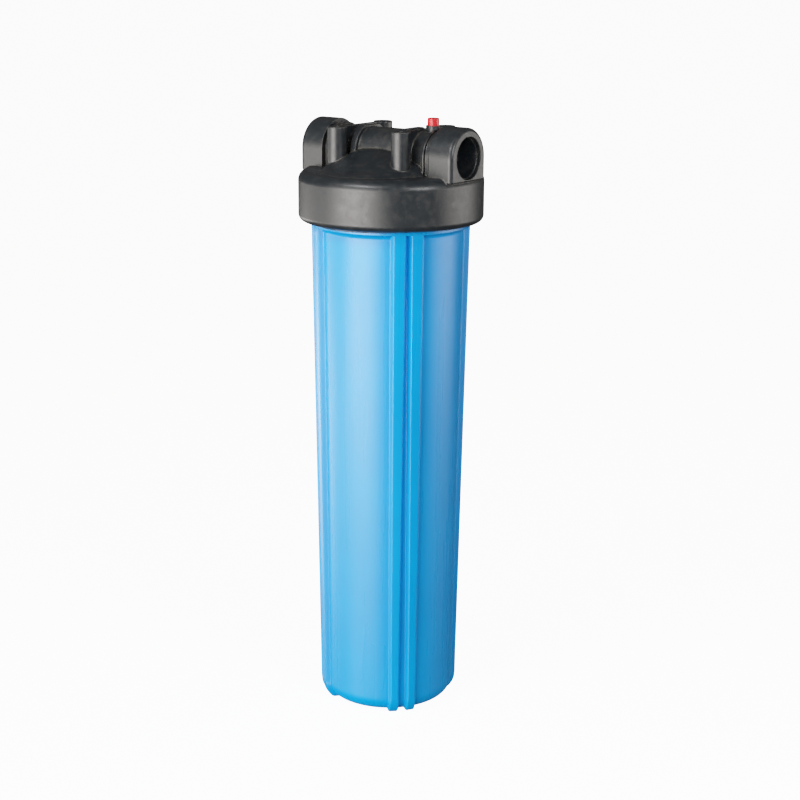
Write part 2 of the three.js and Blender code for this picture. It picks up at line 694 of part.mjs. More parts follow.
const reliefValve = new THREE.Group();
reliefValve.name = "relief_valve";
reliefValve.position.x = RELIEF_X;
housing.add(reliefValve);
add("relief_button", reliefButton(), RED_PLASTIC, reliefValve);
add("relief_stem", reliefStem(), STAINLESS, reliefValve);
add("relief_valve_disc", valveDisc(), WHITE_PLASTIC, reliefValve);
add("relief_o_ring", reliefRing(), BLACK_RUBBER, reliefValve);
add("relief_spring", reliefSpring(), STAINLESS, reliefValve);

const cartridgeHigh = CARTRIDGE_LOW_Z + CARTRIDGE_LENGTH;
const capLow = CARTRIDGE_LOW_Z + GASKET_THICKNESS + GAP;
const capHigh = cartridgeHigh - GASKET_THICKNESS - GAP;
const mediaLow = capLow + END_CAP_THICKNESS + GAP;
const mediaHigh = capHigh - END_CAP_THICKNESS - GAP;
const mediaMiddle = (mediaLow + mediaHigh) / 2;
const gasket = (low, high) => flatRing(CARTRIDGE_HOLE_RADIUS, GASKET_RADIUS, low, high, PIPE_STEPS);
const endCap = (low, high) => flatRing(CARTRIDGE_HOLE_RADIUS, CARTRIDGE_RADIUS, low, high);
add("cartridge_gasket_bottom", gasket(CARTRIDGE_LOW_Z, capLow - GAP), BLACK_RUBBER);
add("cartridge_end_cap_bottom", endCap(capLow, mediaLow - GAP), WHITE_PLASTIC);
add("cartridge_core_lower", coreHalf(mediaLow, mediaMiddle - GAP / 2), WHITE_PLASTIC);
add("cartridge_core_upper", coreHalf(mediaMiddle + GAP / 2, mediaHigh), WHITE_PLASTIC);
add("cartridge_pleats", pleats(mediaLow, mediaHigh), PLEAT_CLOTH);
add("cartridge_end_cap_top", endCap(mediaHigh + GAP, capHigh), WHITE_PLASTIC);
add("cartridge_gasket_top", gasket(capHigh + GAP, cartridgeHigh), BLACK_RUBBER);

export default housing;
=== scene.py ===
"""The looks of a cartridge filter housing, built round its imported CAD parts.

Shapes are worked out in millimetres in the part's own frame (+Z up, ports along X, feet at z = 0) and
turned into metres when a mesh is made. Places and outer sizes come from the frame. What the CAD leaves
plain is named below: roundings, draft, moulded details and finishes.
"""

import json
import math

import bmesh
import bpy
import numpy as np
from mathutils import Matrix, Vector


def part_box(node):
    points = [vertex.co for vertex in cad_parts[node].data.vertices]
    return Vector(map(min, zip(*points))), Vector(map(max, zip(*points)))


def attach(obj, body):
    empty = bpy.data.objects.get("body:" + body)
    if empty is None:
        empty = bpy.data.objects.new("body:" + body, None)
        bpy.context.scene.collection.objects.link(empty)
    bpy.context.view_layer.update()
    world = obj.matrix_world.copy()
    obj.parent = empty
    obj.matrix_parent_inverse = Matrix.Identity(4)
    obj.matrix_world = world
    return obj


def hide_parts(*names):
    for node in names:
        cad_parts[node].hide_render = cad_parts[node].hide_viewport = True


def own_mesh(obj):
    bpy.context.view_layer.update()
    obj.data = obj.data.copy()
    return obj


MM = 0.001

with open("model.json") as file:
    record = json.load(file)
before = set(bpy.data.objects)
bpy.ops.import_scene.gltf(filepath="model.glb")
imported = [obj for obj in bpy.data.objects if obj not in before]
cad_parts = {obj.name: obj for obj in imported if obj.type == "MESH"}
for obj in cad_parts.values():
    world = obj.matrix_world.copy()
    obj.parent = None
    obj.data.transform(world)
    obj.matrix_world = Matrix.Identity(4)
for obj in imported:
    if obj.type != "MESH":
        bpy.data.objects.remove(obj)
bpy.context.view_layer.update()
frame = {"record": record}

# ---------------------------------------------------------------- camera, in metres and degrees
CAMERA_PLACE = (1.0112, -1.3703, 0.7629)
CAMERA_BEARING = 36.08  # which way the view is turned from +Y towards -X
CAMERA_PITCH = 14.69  # looking down
CAMERA_ROLL = 0.44
CAMERA_LENS = 77.49
SENSOR_WIDTH = 36.0


# ---------------------------------------------------------------- places from the frame
def node_box(node):
    """The lowest and highest corner of a CAD node in millimetres."""
    low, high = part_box(node)
    return np.array(low) / MM, np.array(high) / MM


def node_span(node):
    """A CAD node's outer radius about its own upright axis, and its lowest and highest z."""
    low, high = node_box(node)
    return (high[0] - low[0]) / 2, low[2], high[2]


def mount_place(name):
    """Where a mount of the record is, in millimetres."""
    found = next(mount for mount in frame["record"]["mounts"] if mount["name"] == name)
    return np.array(found["pos_m"]) / MM


HEAD_RADIUS, SKIRT_LOW_Z, CUP_TOP_Z = node_span("head")
_, _, RIM_Z = node_span("sump")
PORT_Z = mount_place("inlet_port_face")[2]
RELIEF_X = node_box("relief_button")[0][0] + node_span("relief_button")[0]
MOUNT_OFF_BOSS_AXIS = 6.0  # the boss mounts' points lie this far outboard, clear of the screw holes
BOSS_X = mount_place("bracket_boss_inlet_front")[0] - MOUNT_OFF_BOSS_AXIS
BOSS_Y = -mount_place("bracket_boss_inlet_front")[1]
BOSS_TOP_Z = mount_place("bracket_boss_inlet_front")[2]

# ---------------------------------------------------------------- head
SKIRT_LOW_ROUND = 6.4
SHOULDER_Z = 552.0
SHOULDER_ROUND = 10.0
SEAT_Z = 541.5
THREAD_ROOT_RADIUS = 83.0
INNER_BORE_RADIUS = 68.0
DOME_FOOT_RADIUS = 83.4
DOME_CURVE = ((0, 575), (14, 574.7), (25, 573.8), (33, 571.8), (39, 569.4), (46, 566.2), (53, 562.9),
              (60, 559.6), (67, 556.9), (75, 554.7), (84, 552.7), (100, 550))
DOME_WALL = 7.5
DOME_FOOT_FILLET = 0.35
MOUND_HALF_WIDTH = 60.5  # the dome stands on an oval that is narrower along the ports
MOUND_FLANK = (0.8, 0.6)  # outward and upward parts of the direction that its flank faces
MOUND_EDGE_ROUND = 3.0
UPRIGHT_FOOT_Z = SHOULDER_Z - 6  # what stands on the head is sunk this deep into it
UPRIGHT_FILLET = 0.6
PLATE_EDGE_ROUND = 0.7
PORT_HALF_WIDTH = 29.0
PORT_EDGE_ROUND = 4.4
PORT_BLOCK_INNER_X = 64.4
PORT_BLOCK_INNER_ROUND = 0.5
PORT_BLOCK_FOOT_Z = 547.0
PORT_BLOCK_FOOT_ROUND = 1.6
FLANGE_X = (54.2, 56.8)
FLANGE_HALF_WIDTH = 25.6
COLLAR_X = (23.6, 30.0)
COLLAR_HALF_WIDTH = 27.8
PIPE_RADIUS = 23.0
PIPE_HALF_LENGTH = 70.0
PIPE_FILLET = 0.9
COUNTERBORE_RADIUS = 20.3
COUNTERBORE_DEPTH = 4.6
THROAT_RADIUS = 19.5
PORT_BORE_RADIUS = 16.6
PORT_BORE_DEPTH = 25.0
PORT_BORE_ROUND = 0.5
PASSAGE_RADIUS = 14.0
PASSAGE_END_X = 4.0  # where the outlet's passage ends, just past the standpipe's axis
PASSAGE_EDGE_ROUND = 0.6
INLET_DROP_RADIUS = 11.0
STANDPIPE_RADIUS = 18.0
STANDPIPE_BORE_RADIUS = 13.0
STANDPIPE_LOW_Z = 530.3
STANDPIPE_EDGE_ROUND = 0.8
STANDPIPE_FILLET = 1.2
LOW_SPACE_TOP_Z = 549.5
CAVITY_STEP = 3.0  # how far the space under the dome is set in, and over how much height
CAVITY_EDGE_ROUND = 0.8
INNER_PIPE_FILLET = 1.0
BOSS_RADIUS = 9.4
BOSS_EDGE_ROUND = 0.9
BOSS_HOLE_RADIUS = 2.8
BOSS_HOLE_DEPTH = 22.0
BOSS_HOLE_ROUND = 0.7
WEB_X = (BOSS_X - 1.75, BOSS_X + 1.75)
WEB_FILLET = 1.2
CUP_RADIUS = 7.1
CUP_EDGE_ROUND = 0.4
CUP_FILLET = 0.9
CUP_BORE_RADIUS = 5.95
CUP_BORE_ROUND = 0.2
BUTTON_RADIUS = 5.6
CUP_FLOOR_Z = 590.6
SPRING_POCKET_RADIUS = 3.9
SPRING_POCKET_Z = 588.0
STEM_HOLE_RADIUS = 2.0

HEAD_CELL = 0.85  # grid step that the head's surface is found on
HEAD_TRIANGLES = 185_000
SETTLING_PASSES = 3  # how often each point is moved onto the exact surface
LEAST_SLOPE_SQUARED = 0.25
BEND_REACH = 1.2  # how far round a point its edges and corners are felt

# ---------------------------------------------------------------- screw threads
THREAD_LEAD = 8.0
THREAD_TURNS = 2.5
MALE_START_Z = 509.0
MALE_CREST_RADIUS = 82.2
FEMALE_START_Z = 507.0
FEMALE_START_ANGLE = math.pi / 2
FEMALE_CREST_RADIUS = 79.9
FEMALE_HALF_WIDTH = 2.1  # at the root
FEMALE_FLANK_SLOPE = 0.26
FEMALE_FLANK_SCALE = 0.97  # turns a height along Z into a distance from the sloping flank
FEMALE_END_SHARE = 0.02
MALE_FOOT_RADIUS = 78.5
MALE_HALF_WIDTHS = (2.35, 1.3)  # at the foot and at the crest
THREAD_CREST_ROUND = 0.5
MALE_STEPS_ROUND = 96

# ---------------------------------------------------------------- sump
UNDERSIDE_Z = 0.5
UNDERSIDE_RISE = 2.0
CORNER_RADIUS = 14.8
CORNER_Z = UNDERSIDE_Z + CORNER_RADIUS
WALL_RADIUS_LOW = 66.4
WALL_RADIUS_HIGH = 73.0
WALL_THICKNESS = 6.5
WALL_TOP_Z = 494.0
COLLAR_Z = 498.0
COLLAR_RADIUS = 79.0
NECK_BORE_RADIUS = 70.0
GROOVE_RADII = (77.6, 72.4)  # the main O-ring's groove in the rim
GROOVE_FLOOR_Z = 536.6
FLOOR_Z = 9.0
SEAT_RING_FOOT_RADIUS = 21.0  # the ring that the cartridge's lower gasket stands on
SEAT_RING_RADII = (17.6, 15.4)
SEAT_RING_TOP_Z = 21.7
SPIGOT_FOOT_RADII = (15.0, 13.0)
SPIGOT_FOOT_Z = 12.0
SPIGOT_SHOULDER = (12.4, 34.0)
SPIGOT_TOP = (10.0, 38.0)
FLARE_DROP = 0.6  # how far the flare starts below the wall's top, and the straight collar above its end
SEAM_Z = 15.2
RIB_PAIR_ANGLES = [math.radians(-41 + 90 * pair) for pair in range(4)]
RIB_SPACING = 18.0
RIB_HALF_WIDTH_LOW = 3.45
RIB_HALF_WIDTH_HIGH = 5.45
RIB_FOOT_EXTRA = 0.5
RIB_HEIGHT_LOW = 4.3
RIB_FACE_FOOT_EXTRA = 0.25
RIB_FACE_LOW = (38.0, 71.2)  # height and radius where a rib's outer face starts its long straight run
RIB_SIDE_TURN = math.radians(60)  # how far a rib's side leans up out of the wall
RIB_EDGE_ROUND = 0.8
RIB_FOOT_ROUND = 1.3
UNDERSIDE_RADII = (20, 32, 42, 46.2, 46.7)  # rings of points inside the ribs' ends
RIB_START = ((46.9, 0.12), (47.2, 0.55), (47.5, 0.9), (47.9, 1), (50, 1))  # radius and share of height
WALL_RING_HEIGHTS = [
    SEAM_Z + 1.2, 18, 22, 30, 37.5, 39, 46, *np.linspace(60, 480, 22).tolist(), 488, WALL_TOP_Z - 1.5,
]
CORNER_ANGLES = np.radians(np.concatenate([np.linspace(-90, -58, 7), np.linspace(-55, -4, 9)]))
LEAST_RIB_HEIGHT = 0.02  # keeps the folds of a rib apart where it fades out

# ---------------------------------------------------------------- relief valve
BUTTON_DISH_RADIUS = 3.6
BUTTON_DISH_DEPTH = 0.35
BUTTON_TIP_WALL = 2.1
BUTTON_SOCKET = 3.0
STEM_RADIUS = 1.4
SPRING_WIRE_RADIUS = 0.4
SPRING_TURNS = 7
SPRING_END_SHARE = 0.09  # how much of the height one wire's thickness is

# ---------------------------------------------------------------- cartridge
CARTRIDGE_HOLE_RADIUS = 14.5
BEAD_HEIGHT = 0.5
BEAD_HALF_WIDTH = 0.8
END_CAP_STEP = 0.6
END_CAP_GROOVE = (26.5, 27.3, 36.0, 36.8)  # radii of a shallow groove's edges and of its floor's
END_CAP_OUTER_GROOVE = (40.2, 41.0)
CORE_WALL = 2.2
CORE_COLUMNS = 96
CORE_SLOTS_ROUND = 8
CORE_SLOT_COLUMNS = 5
CORE_ROWS = 12
CORE_SLOT_SPAN = (0.22, 0.78)  # where a slot starts and ends, as shares of its row's height
PLEATS = 40
PLEAT_ROOT_RADIUS = 18.7
PLEAT_TIP_RADIUS = 54.8
PLEAT_FOLD = 0.95
PLEAT_THICKNESS = 0.7
PLEAT_WAVES = ((0.012, 23, 3.1), (0.008, 9.7, 7))  # swing in radians, height in mm, twist

# ---------------------------------------------------------------- light and tone
WHITE_LEVEL = 4.0
TONE_STEEPNESS = 1.3
FLOOR_GLOW = 2.4
STRIP_COLOUR = (1.0, 0.95, 0.9)
# Each patch of light has four bearings in degrees and four heights as the sine of the elevation: where
# it starts, is full, starts to fade and is gone.
STRIP_HEIGHTS = (-0.42, -0.15, 0.02, 0.22)
LEFT_STRIP_BEARINGS = (-50, -16, 4, 27)
LEFT_STRIP_POWER = 10.8
LEFT_SPILL_BEARINGS = (-98, -48, -20, 12)
LEFT_SPILL_POWER = 0.1
RIGHT_STRIP_BEARINGS = (98, 114, 132, 168)
RIGHT_STRIP_HEIGHTS = (-0.3, -0.17, 0.02, 0.22)
RIGHT_STRIP_POWER = 4.6
LOW_LEFT_BEARINGS = (-125, -95, 15, 42)
LOW_LEFT_HEIGHTS = (-0.42, -0.25, -0.20, -0.165)
LOW_LEFT_POWER = 6.0
TOP_GLOW_HEIGHTS = (0.3, 0.6, 1.0, 1.1)
TOP_GLOW_POWER = 0.05
SURROUND_POWER = 0.05
SOFTBOX_AIM_Z = 0.33
FLOOR_HALF_SIZE = 40.0
FLOOR_DROP = 0.0003
CURVE_SHARES = (0.02, 0.05, 0.09, 0.14, 0.2, 0.28, 0.38, 0.52, 0.72)

# ---------------------------------------------------------------- colours
BLACK_DEEP = (0.0060, 0.0090, 0.0120)
BLACK_PALE = (0.0110, 0.0140, 0.0170)
BLACK_SPECK = (0.06, 0.055, 0.048)
DUST = (0.13, 0.115, 0.09)
WORN_EDGE = (0.12, 0.105, 0.09)
BLUE_DEEP = (0.0, 0.262, 0.74)
BLUE_PALE = (0.0, 0.290, 0.80)
CLOTH_DEEP = (0.72, 0.72, 0.69)
CLOTH_PALE = (0.82, 0.82, 0.80)
RED = (0.66, 0.016, 0.02)
STEEL = (0.58, 0.58, 0.59)
RUBBER = (0.022, 0.022, 0.023)
WHITE_PLASTIC = (0.78, 0.79, 0.76)
TONE_CHANGE = 0.12  # how much darker a plain finish is in its dark patches
FINE_GRAIN_DEPTH = 0.00003


# ---------------------------------------------------------------- meshes
ARC_REACH = 0.48  # the most of the shorter side beside a corner that its rounding may take


def merged(*shapes):
    """One shape out of several. A shape is an array of points and a list of faces."""
    points, faces, start = [], [], 0
    for shape_points, shape_faces in shapes:
        points.append(np.asarray(shape_points, float))
        faces += [[corner + start for corner in face] for face in shape_faces]
        start += len(shape_points)
    return np.concatenate(points), faces


def grid_faces(rows, columns, closed=True):
    """Quads between rows of points, each row going once round if closed."""
    last = columns if closed else columns - 1
    faces = []
    for row in range(rows - 1):
        for column in range(last):
            beside = (column + 1) % columns
            here, above = row * columns, (row + 1) * columns
            faces.append([here + column, here + beside, above + beside, above + column])
    return faces


def mesh_object(name, shape, weld=True):
    """A smooth object from a shape in millimetres, with points that meet joined into one."""
    points, faces = shape
    mesh = bpy.data.meshes.new(name)
    mesh.from_pydata((np.asarray(points) * MM).tolist(), [], faces)
    if weld:
        work = bmesh.new()
        work.from_mesh(mesh)
        bmesh.ops.remove_doubles(work, verts=work.verts, dist=1e-3 * MM)
        bmesh.ops.recalc_face_normals(work, faces=work.faces)
        work.to_mesh(mesh)
        work.free()
    mesh.shade_smooth()
    made = bpy.data.objects.new(name, mesh)
    bpy.context.scene.collection.objects.link(made)
    return made


def rounded(corners, steps=5, closed=False):
    """An outline through corners of (radius, z, rounding), with an arc at each rounded corner and a
    point just before and after it, so that the flats beside it stay flat in the shading."""
    points = []
    count = len(corners)
    for i, (radius, z, rounding) in enumerate(corners):
        here = np.array([radius, z], float)
        if rounding == 0 or (not closed and i in (0, count - 1)):
            points.append(here)
            continue
        before = np.array(corners[i - 1][:2], float) - here
        after = np.array(corners[(i + 1) % count][:2], float) - here
        reach = min(np.linalg.norm(before), np.linalg.norm(after))
        inward, outward = -before / np.linalg.norm(before), after / np.linalg.norm(after)
        turn = math.acos(np.clip(inward @ outward, -1, 1))
        tangent = rounding * math.tan(turn / 2)
        if tangent > ARC_REACH * reach:
            tangent = ARC_REACH * reach
            rounding = tangent / math.tan(turn / 2)
        side = np.sign(inward[0] * outward[1] - inward[1] * outward[0])
        across = side * np.array([-inward[1], inward[0]])
        start = here - inward * tangent
        margin = min(0.3 * rounding, 0.01 * reach + 0.02)
        points.append(start - inward * margin)
        for angle in np.linspace(0, turn, steps + 1):
            points.append(start + rounding * (math.sin(angle) * inward + (1 - math.cos(angle)) * across))
        points.append(here + outward * (tangent + margin))
    return np.array(points)


def turned(corners, steps, axis_x=0.0, closed=True, fineness=5):
    """A shape turned about an upright axis from corners of (radius, z, rounding)."""
    outline = rounded(corners, fineness, closed)
    if closed:
        outline = np.vstack([outline, outline[:1]])
    angles = np.linspace(0, 2 * math.pi, steps, endpoint=False)
    points = [
        (axis_x + radius * math.cos(angle), radius * math.sin(angle), z)
        for radius, z in outline
        for angle in angles
    ]
    return np.array(points), grid_faces(len(outline), steps)


def helix_ridge(section, start_z, turns, lead, steps_round, fade=math.radians(28)):
    """A ridge that winds round Z from +X. Its section is points of (radius, z), and it rises out of its
    foot at one end and sinks back into it at the other."""
    base = section[:, 0].min()
    angles = np.linspace(0, 2 * math.pi * turns, int(turns * steps_round) + 1)
    rows = []
    for angle in angles:
        share = min(1.0, angle / fade, (angles[-1] - angle) / fade)
        height = math.sin(share * math.pi / 2)
        radius = base + (section[:, 0] - base) * height
        z = start_z + lead * angle / (2 * math.pi) + section[:, 1]
        rows.append(np.stack([radius * math.cos(angle), radius * math.sin(angle), z], 1))
    return np.concatenate(rows), grid_faces(len(rows), len(section))


# ---------------------------------------------------------------- distance fields, for the head
def fillet_join(a, b, fillet):
    """Joins two distance fields with a concave fillet between them."""
    corner = np.hypot(np.maximum(fillet - a, 0), np.maximum(fillet - b, 0))
    return np.maximum(fillet, np.minimum(a, b)) - corner


def round_meet(a, b, edge):
    """What two distance fields share, with the edge between them rounded."""
    corner = np.hypot(np.maximum(edge + a, 0), np.maximum(edge + b, 0))
    return np.minimum(-edge, np.maximum(a, b)) + corner


def round_cut(a, b, edge):
    """Takes the second field out of the first and rounds the edge that this leaves."""
    return round_meet(a, -b, edge)


def slab(value, low, high):
    """Distance from a flat layer between two values of a coordinate."""
    return np.abs(value - (low + high) / 2) - (high - low) / 2


def smooth_curve(points, samples=1500):
    """Dense heights and slopes along a smooth curve through points of (radius, height)."""
    at, height = np.array(points, float).T
    slope = np.gradient(height, at)
    slope[0] = 0
    dense = np.linspace(at[0], at[-1], samples)
    piece = np.clip(np.searchsorted(at, dense, side="right") - 1, 0, len(at) - 2)
    width = at[piece + 1] - at[piece]
    t = (dense - at[piece]) / width
    heights = (
        (1 + 2 * t) * (1 - t) ** 2 * height[piece]
        + t * (1 - t) ** 2 * width * slope[piece]
        + t * t * (3 - 2 * t) * height[piece + 1]
        + t * t * (t - 1) * width * slope[piece + 1]
    )
    return dense, heights, np.gradient(heights, dense)


DOME_RADII, DOME_HEIGHTS, DOME_SLOPES = smooth_curve(DOME_CURVE)


def dome_distance(radius, z, wall=0.0):
    """Distance above the dome's surface, or above its inside where a wall thickness is given."""
    steepness = np.sqrt(1 + np.interp(radius, DOME_RADII, DOME_SLOPES) ** 2)
    return (z - np.interp(radius, DOME_RADII, DOME_HEIGHTS)) / steepness + wall


def skirt_distance(radius, z):
    """The round body under the dome, rounded at its shoulder and at its lower edge."""
    side = radius - HEAD_RADIUS
    upper = round_meet(side, z - SHOULDER_Z, SHOULDER_ROUND)
    return np.where(z > SEAT_Z - 10, upper, round_meet(side, SKIRT_LOW_Z - z, SKIRT_LOW_ROUND))


def thread_field(x, y, z, radius):
    """The thread inside the skirt, as a ridge that winds up the bore."""
    angle = np.arctan2(y, x) - FEMALE_START_ANGLE
    climb = (z - FEMALE_START_Z) / THREAD_LEAD - angle / (2 * math.pi)
    turn = np.clip(np.round(climb), 0, math.floor(THREAD_TURNS))
    along = turn + np.mod(angle, 2 * math.pi) / (2 * math.pi)
    axial = np.abs(z - FEMALE_START_Z - THREAD_LEAD * (turn + angle / (2 * math.pi)))
    flank = axial - FEMALE_HALF_WIDTH + (THREAD_ROOT_RADIUS - radius) * FEMALE_FLANK_SLOPE
    flank = flank * FEMALE_FLANK_SCALE
    crest = FEMALE_CREST_RADIUS - radius
    outside = radius - THREAD_ROOT_RADIUS - 1
    ends = slab(along, FEMALE_END_SHARE, THREAD_TURNS) * 2 * math.pi * FEMALE_CREST_RADIUS
    ridge = round_meet(flank, crest, THREAD_CREST_ROUND)
    return np.maximum(np.maximum(ridge, outside), ends)


def head_outside(x, y, z, radius):
    """The outer form: skirt, dome, pipe, flanges, collars, webs, bosses, port blocks, valve's cup."""
    along, across = np.abs(x), np.abs(y)
    arch = np.hypot(y, np.maximum(z - PORT_Z, 0))  # from the ports' axis, with upright sides below it
    oval = (np.hypot(x / MOUND_HALF_WIDTH, y / DOME_FOOT_RADIUS) - 1) * MOUND_HALF_WIDTH
    flank = MOUND_FLANK[0] * oval + MOUND_FLANK[1] * (z - SHOULDER_Z)
    dome = np.maximum(dome_distance(radius, z), radius - DOME_FOOT_RADIUS)
    dome = round_meet(dome, flank, MOUND_EDGE_ROUND)
    pipe = np.maximum(arch - PIPE_RADIUS, along - PIPE_HALF_LENGTH)
    flange = round_meet(arch - FLANGE_HALF_WIDTH, slab(along, *FLANGE_X), PLATE_EDGE_ROUND)
    collar = round_meet(arch - COLLAR_HALF_WIDTH, slab(along, *COLLAR_X), PLATE_EDGE_ROUND)
    collar = round_meet(collar, z - BOSS_TOP_Z, PLATE_EDGE_ROUND)
    web = np.maximum(slab(along, *WEB_X), across - BOSS_Y)
    web = round_meet(web, z - BOSS_TOP_Z, PLATE_EDGE_ROUND)
    boss = np.hypot(along - BOSS_X, across - BOSS_Y) - BOSS_RADIUS
    boss = round_meet(boss, z - BOSS_TOP_Z, BOSS_EDGE_ROUND)
    body = fillet_join(skirt_distance(radius, z), dome, DOME_FOOT_FILLET)
    for upright, fillet in (
        (pipe, PIPE_FILLET), (flange, UPRIGHT_FILLET), (collar, UPRIGHT_FILLET),
        (web, WEB_FILLET), (boss, UPRIGHT_FILLET),
    ):
        body = fillet_join(body, np.maximum(upright, UPRIGHT_FOOT_Z - z), fillet)
    block = round_meet(arch - PORT_HALF_WIDTH, along - HEAD_RADIUS, PORT_EDGE_ROUND)
    block = round_meet(block, PORT_BLOCK_INNER_X - along, PORT_BLOCK_INNER_ROUND)
    block = round_meet(block, PORT_BLOCK_FOOT_Z - z, PORT_BLOCK_FOOT_ROUND)
    body = fillet_join(body, block, UPRIGHT_FILLET)
    cup = np.hypot(x - RELIEF_X, y) - CUP_RADIUS
    cup = round_meet(cup, z - CUP_TOP_Z, CUP_EDGE_ROUND)
    return fillet_join(body, np.maximum(cup, PORT_Z - z), CUP_FILLET)


def head_hollow(body, x, y, z, radius):
    """Hollows the outer form and adds what hangs inside it: pipe, standpipe and screw thread."""
    screw_bore = np.maximum(radius - THREAD_ROOT_RADIUS, z - SEAT_Z)
    ceiling = np.maximum(dome_distance(radius, z, DOME_WALL), radius - INNER_BORE_RADIUS + CAVITY_STEP)
    set_in = np.clip(z - SEAT_Z - CAVITY_STEP, 0, CAVITY_STEP)
    low_space = np.maximum(radius - INNER_BORE_RADIUS + set_in, z - LOW_SPACE_TOP_Z)
    cavity = np.minimum(screw_bore, np.maximum(np.minimum(ceiling, low_space), SKIRT_LOW_Z - 5 - z))
    body = round_cut(body, cavity, CAVITY_EDGE_ROUND)
    pipe = np.maximum(np.hypot(y, z - PORT_Z) - PIPE_RADIUS, np.abs(x) - INNER_BORE_RADIUS)
    body = fillet_join(body, pipe, INNER_PIPE_FILLET)
    standpipe = round_meet(radius - STANDPIPE_RADIUS, STANDPIPE_LOW_Z - z, STANDPIPE_EDGE_ROUND)
    body = fillet_join(body, np.maximum(standpipe, z - PORT_Z), STANDPIPE_FILLET)
    return np.minimum(body, thread_field(x, y, z, radius))


def head_waterways(body, x, y, z, radius):
    """Takes out both ports, the passages behind them, the standpipe's bore and the drop to the sump."""
    port_radius = np.hypot(y, z - PORT_Z)
    depth = HEAD_RADIUS - np.abs(x)
    counterbore = np.maximum(port_radius - COUNTERBORE_RADIUS, depth - COUNTERBORE_DEPTH)
    body = round_cut(body, counterbore, PASSAGE_EDGE_ROUND)
    bore = np.maximum(port_radius - PORT_BORE_RADIUS, depth - PORT_BORE_DEPTH)
    body = round_cut(body, bore, PORT_BORE_ROUND)
    taper = np.interp(depth, (COUNTERBORE_DEPTH, PORT_BORE_DEPTH), (THROAT_RADIUS, PORT_BORE_RADIUS))
    body = np.maximum(body, -np.maximum(port_radius - taper, depth - PORT_BORE_DEPTH))
    outlet = slab(x, -HEAD_RADIUS, PASSAGE_END_X)
    inlet = slab(x, RELIEF_X - INLET_DROP_RADIUS, HEAD_RADIUS)
    passages = np.maximum(port_radius - PASSAGE_RADIUS, np.minimum(outlet, inlet))
    body = round_cut(body, passages, PASSAGE_EDGE_ROUND)
    rise = np.maximum(radius - STANDPIPE_BORE_RADIUS, z - PORT_Z)
    drop = np.maximum(np.hypot(x - RELIEF_X, y) - INLET_DROP_RADIUS, slab(z, SEAT_Z - 5, PORT_Z))
    return round_cut(body, np.minimum(rise, drop), PASSAGE_EDGE_ROUND)


def head_field(x, y, z):
    """Signed distance from the head's surface: below zero is plastic."""
    radius = np.hypot(x, y)
    body = head_outside(x, y, z, radius)
    body = head_hollow(body, x, y, z, radius)
    body = head_waterways(body, x, y, z, radius)
    valve_radius = np.hypot(x - RELIEF_X, y)
    cup_bore = np.maximum(valve_radius - CUP_BORE_RADIUS, CUP_FLOOR_Z - z)
    body = round_cut(body, cup_bore, CUP_BORE_ROUND)
    pocket = np.maximum(valve_radius - SPRING_POCKET_RADIUS, SPRING_POCKET_Z - z)
    stem_hole = np.maximum(valve_radius - STEM_HOLE_RADIUS, PORT_Z - z)
    body = np.maximum(body, -np.minimum(pocket, stem_hole))
    screw_radius = np.hypot(np.abs(x) - BOSS_X, np.abs(y) - BOSS_Y)
    hole = np.maximum(screw_radius - BOSS_HOLE_RADIUS, BOSS_TOP_Z - BOSS_HOLE_DEPTH - z)
    return round_cut(body, hole, BOSS_HOLE_ROUND)


def field_on_grid(field, low, counts, cell):
    """The field's values on a grid, worked out one upright slice at a time."""
    axes = [low[i] + cell * np.arange(counts[i]) for i in range(3)]
    y, z = np.meshgrid(axes[1], axes[2], indexing="ij")
    values = np.empty(counts, np.float32)
    for i, x in enumerate(axes[0]):
        values[i] = field(np.full_like(y, x), y, z)
    return values


def surface_net(values, low, cell):
    """Points and quads of the surface where a grid of values changes sign."""
    inside = values < 0
    cells = np.array(values.shape) - 1
    owners, crossings, flips = [], [], []
    for axis in range(3):
        step = np.eye(3, dtype=int)[axis]
        side, up = np.roll(step, 1), np.roll(step, 2)
        near = tuple(slice(0, -1) if i == axis else slice(None) for i in range(3))
        far = tuple(slice(1, None) if i == axis else slice(None) for i in range(3))
        edges = np.argwhere(inside[near] != inside[far])
        enclosed = np.all((edges * (side + up) > 0) | ((side + up) == 0), 1)
        enclosed &= np.all((edges * (side + up) < cells), 1)
        edges = edges[enclosed]
        ahead = edges + step
        first, second = values[tuple(edges.T)], values[tuple(ahead.T)]
        crossings.append(edges + (first / (first - second))[:, None] * step)
        owners.append(np.stack([edges, edges - side, edges - side - up, edges - up], 1))
        flips.append(second < 0)
    owners, crossings = np.concatenate(owners), np.concatenate(crossings)
    numbers = owners @ np.array([cells[1] * cells[2], cells[2], 1])
    _, corners = np.unique(numbers, return_inverse=True)
    corners = corners.reshape(-1, 4)
    count = corners.max() + 1
    shared = np.bincount(corners.ravel(), minlength=count)
    repeated = np.repeat(crossings, 4, axis=0)
    points = np.stack(
        [np.bincount(corners.ravel(), repeated[:, i], count) / shared for i in range(3)], 1
    )
    flipped = np.concatenate(flips)
    corners[flipped] = corners[flipped][:, ::-1]
    return np.array(low) + cell * points, corners


def field_slope(field, points, reach=0.08):
    """The field's gradient at points, as unit vectors and as it stands."""
    slope = np.empty_like(points)
    for axis in range(3):
        offset = np.eye(3)[axis] * reach
        slope[:, axis] = field(*(points + offset).T) - field(*(points - offset).T)
    slope /= 2 * reach
    length = np.linalg.norm(slope, axis=1, keepdims=True)
    return slope / np.maximum(length, 1e-6), slope


def bend_of_field(field, points, reach):
    """How strongly the surface turns near points: above zero on edges, below zero in corners."""
    around = -6 * field(*points.T)
    for axis in range(3):
        offset = np.eye(3)[axis] * reach
        around += field(*(points + offset).T) + field(*(points - offset).T)
    return around / reach


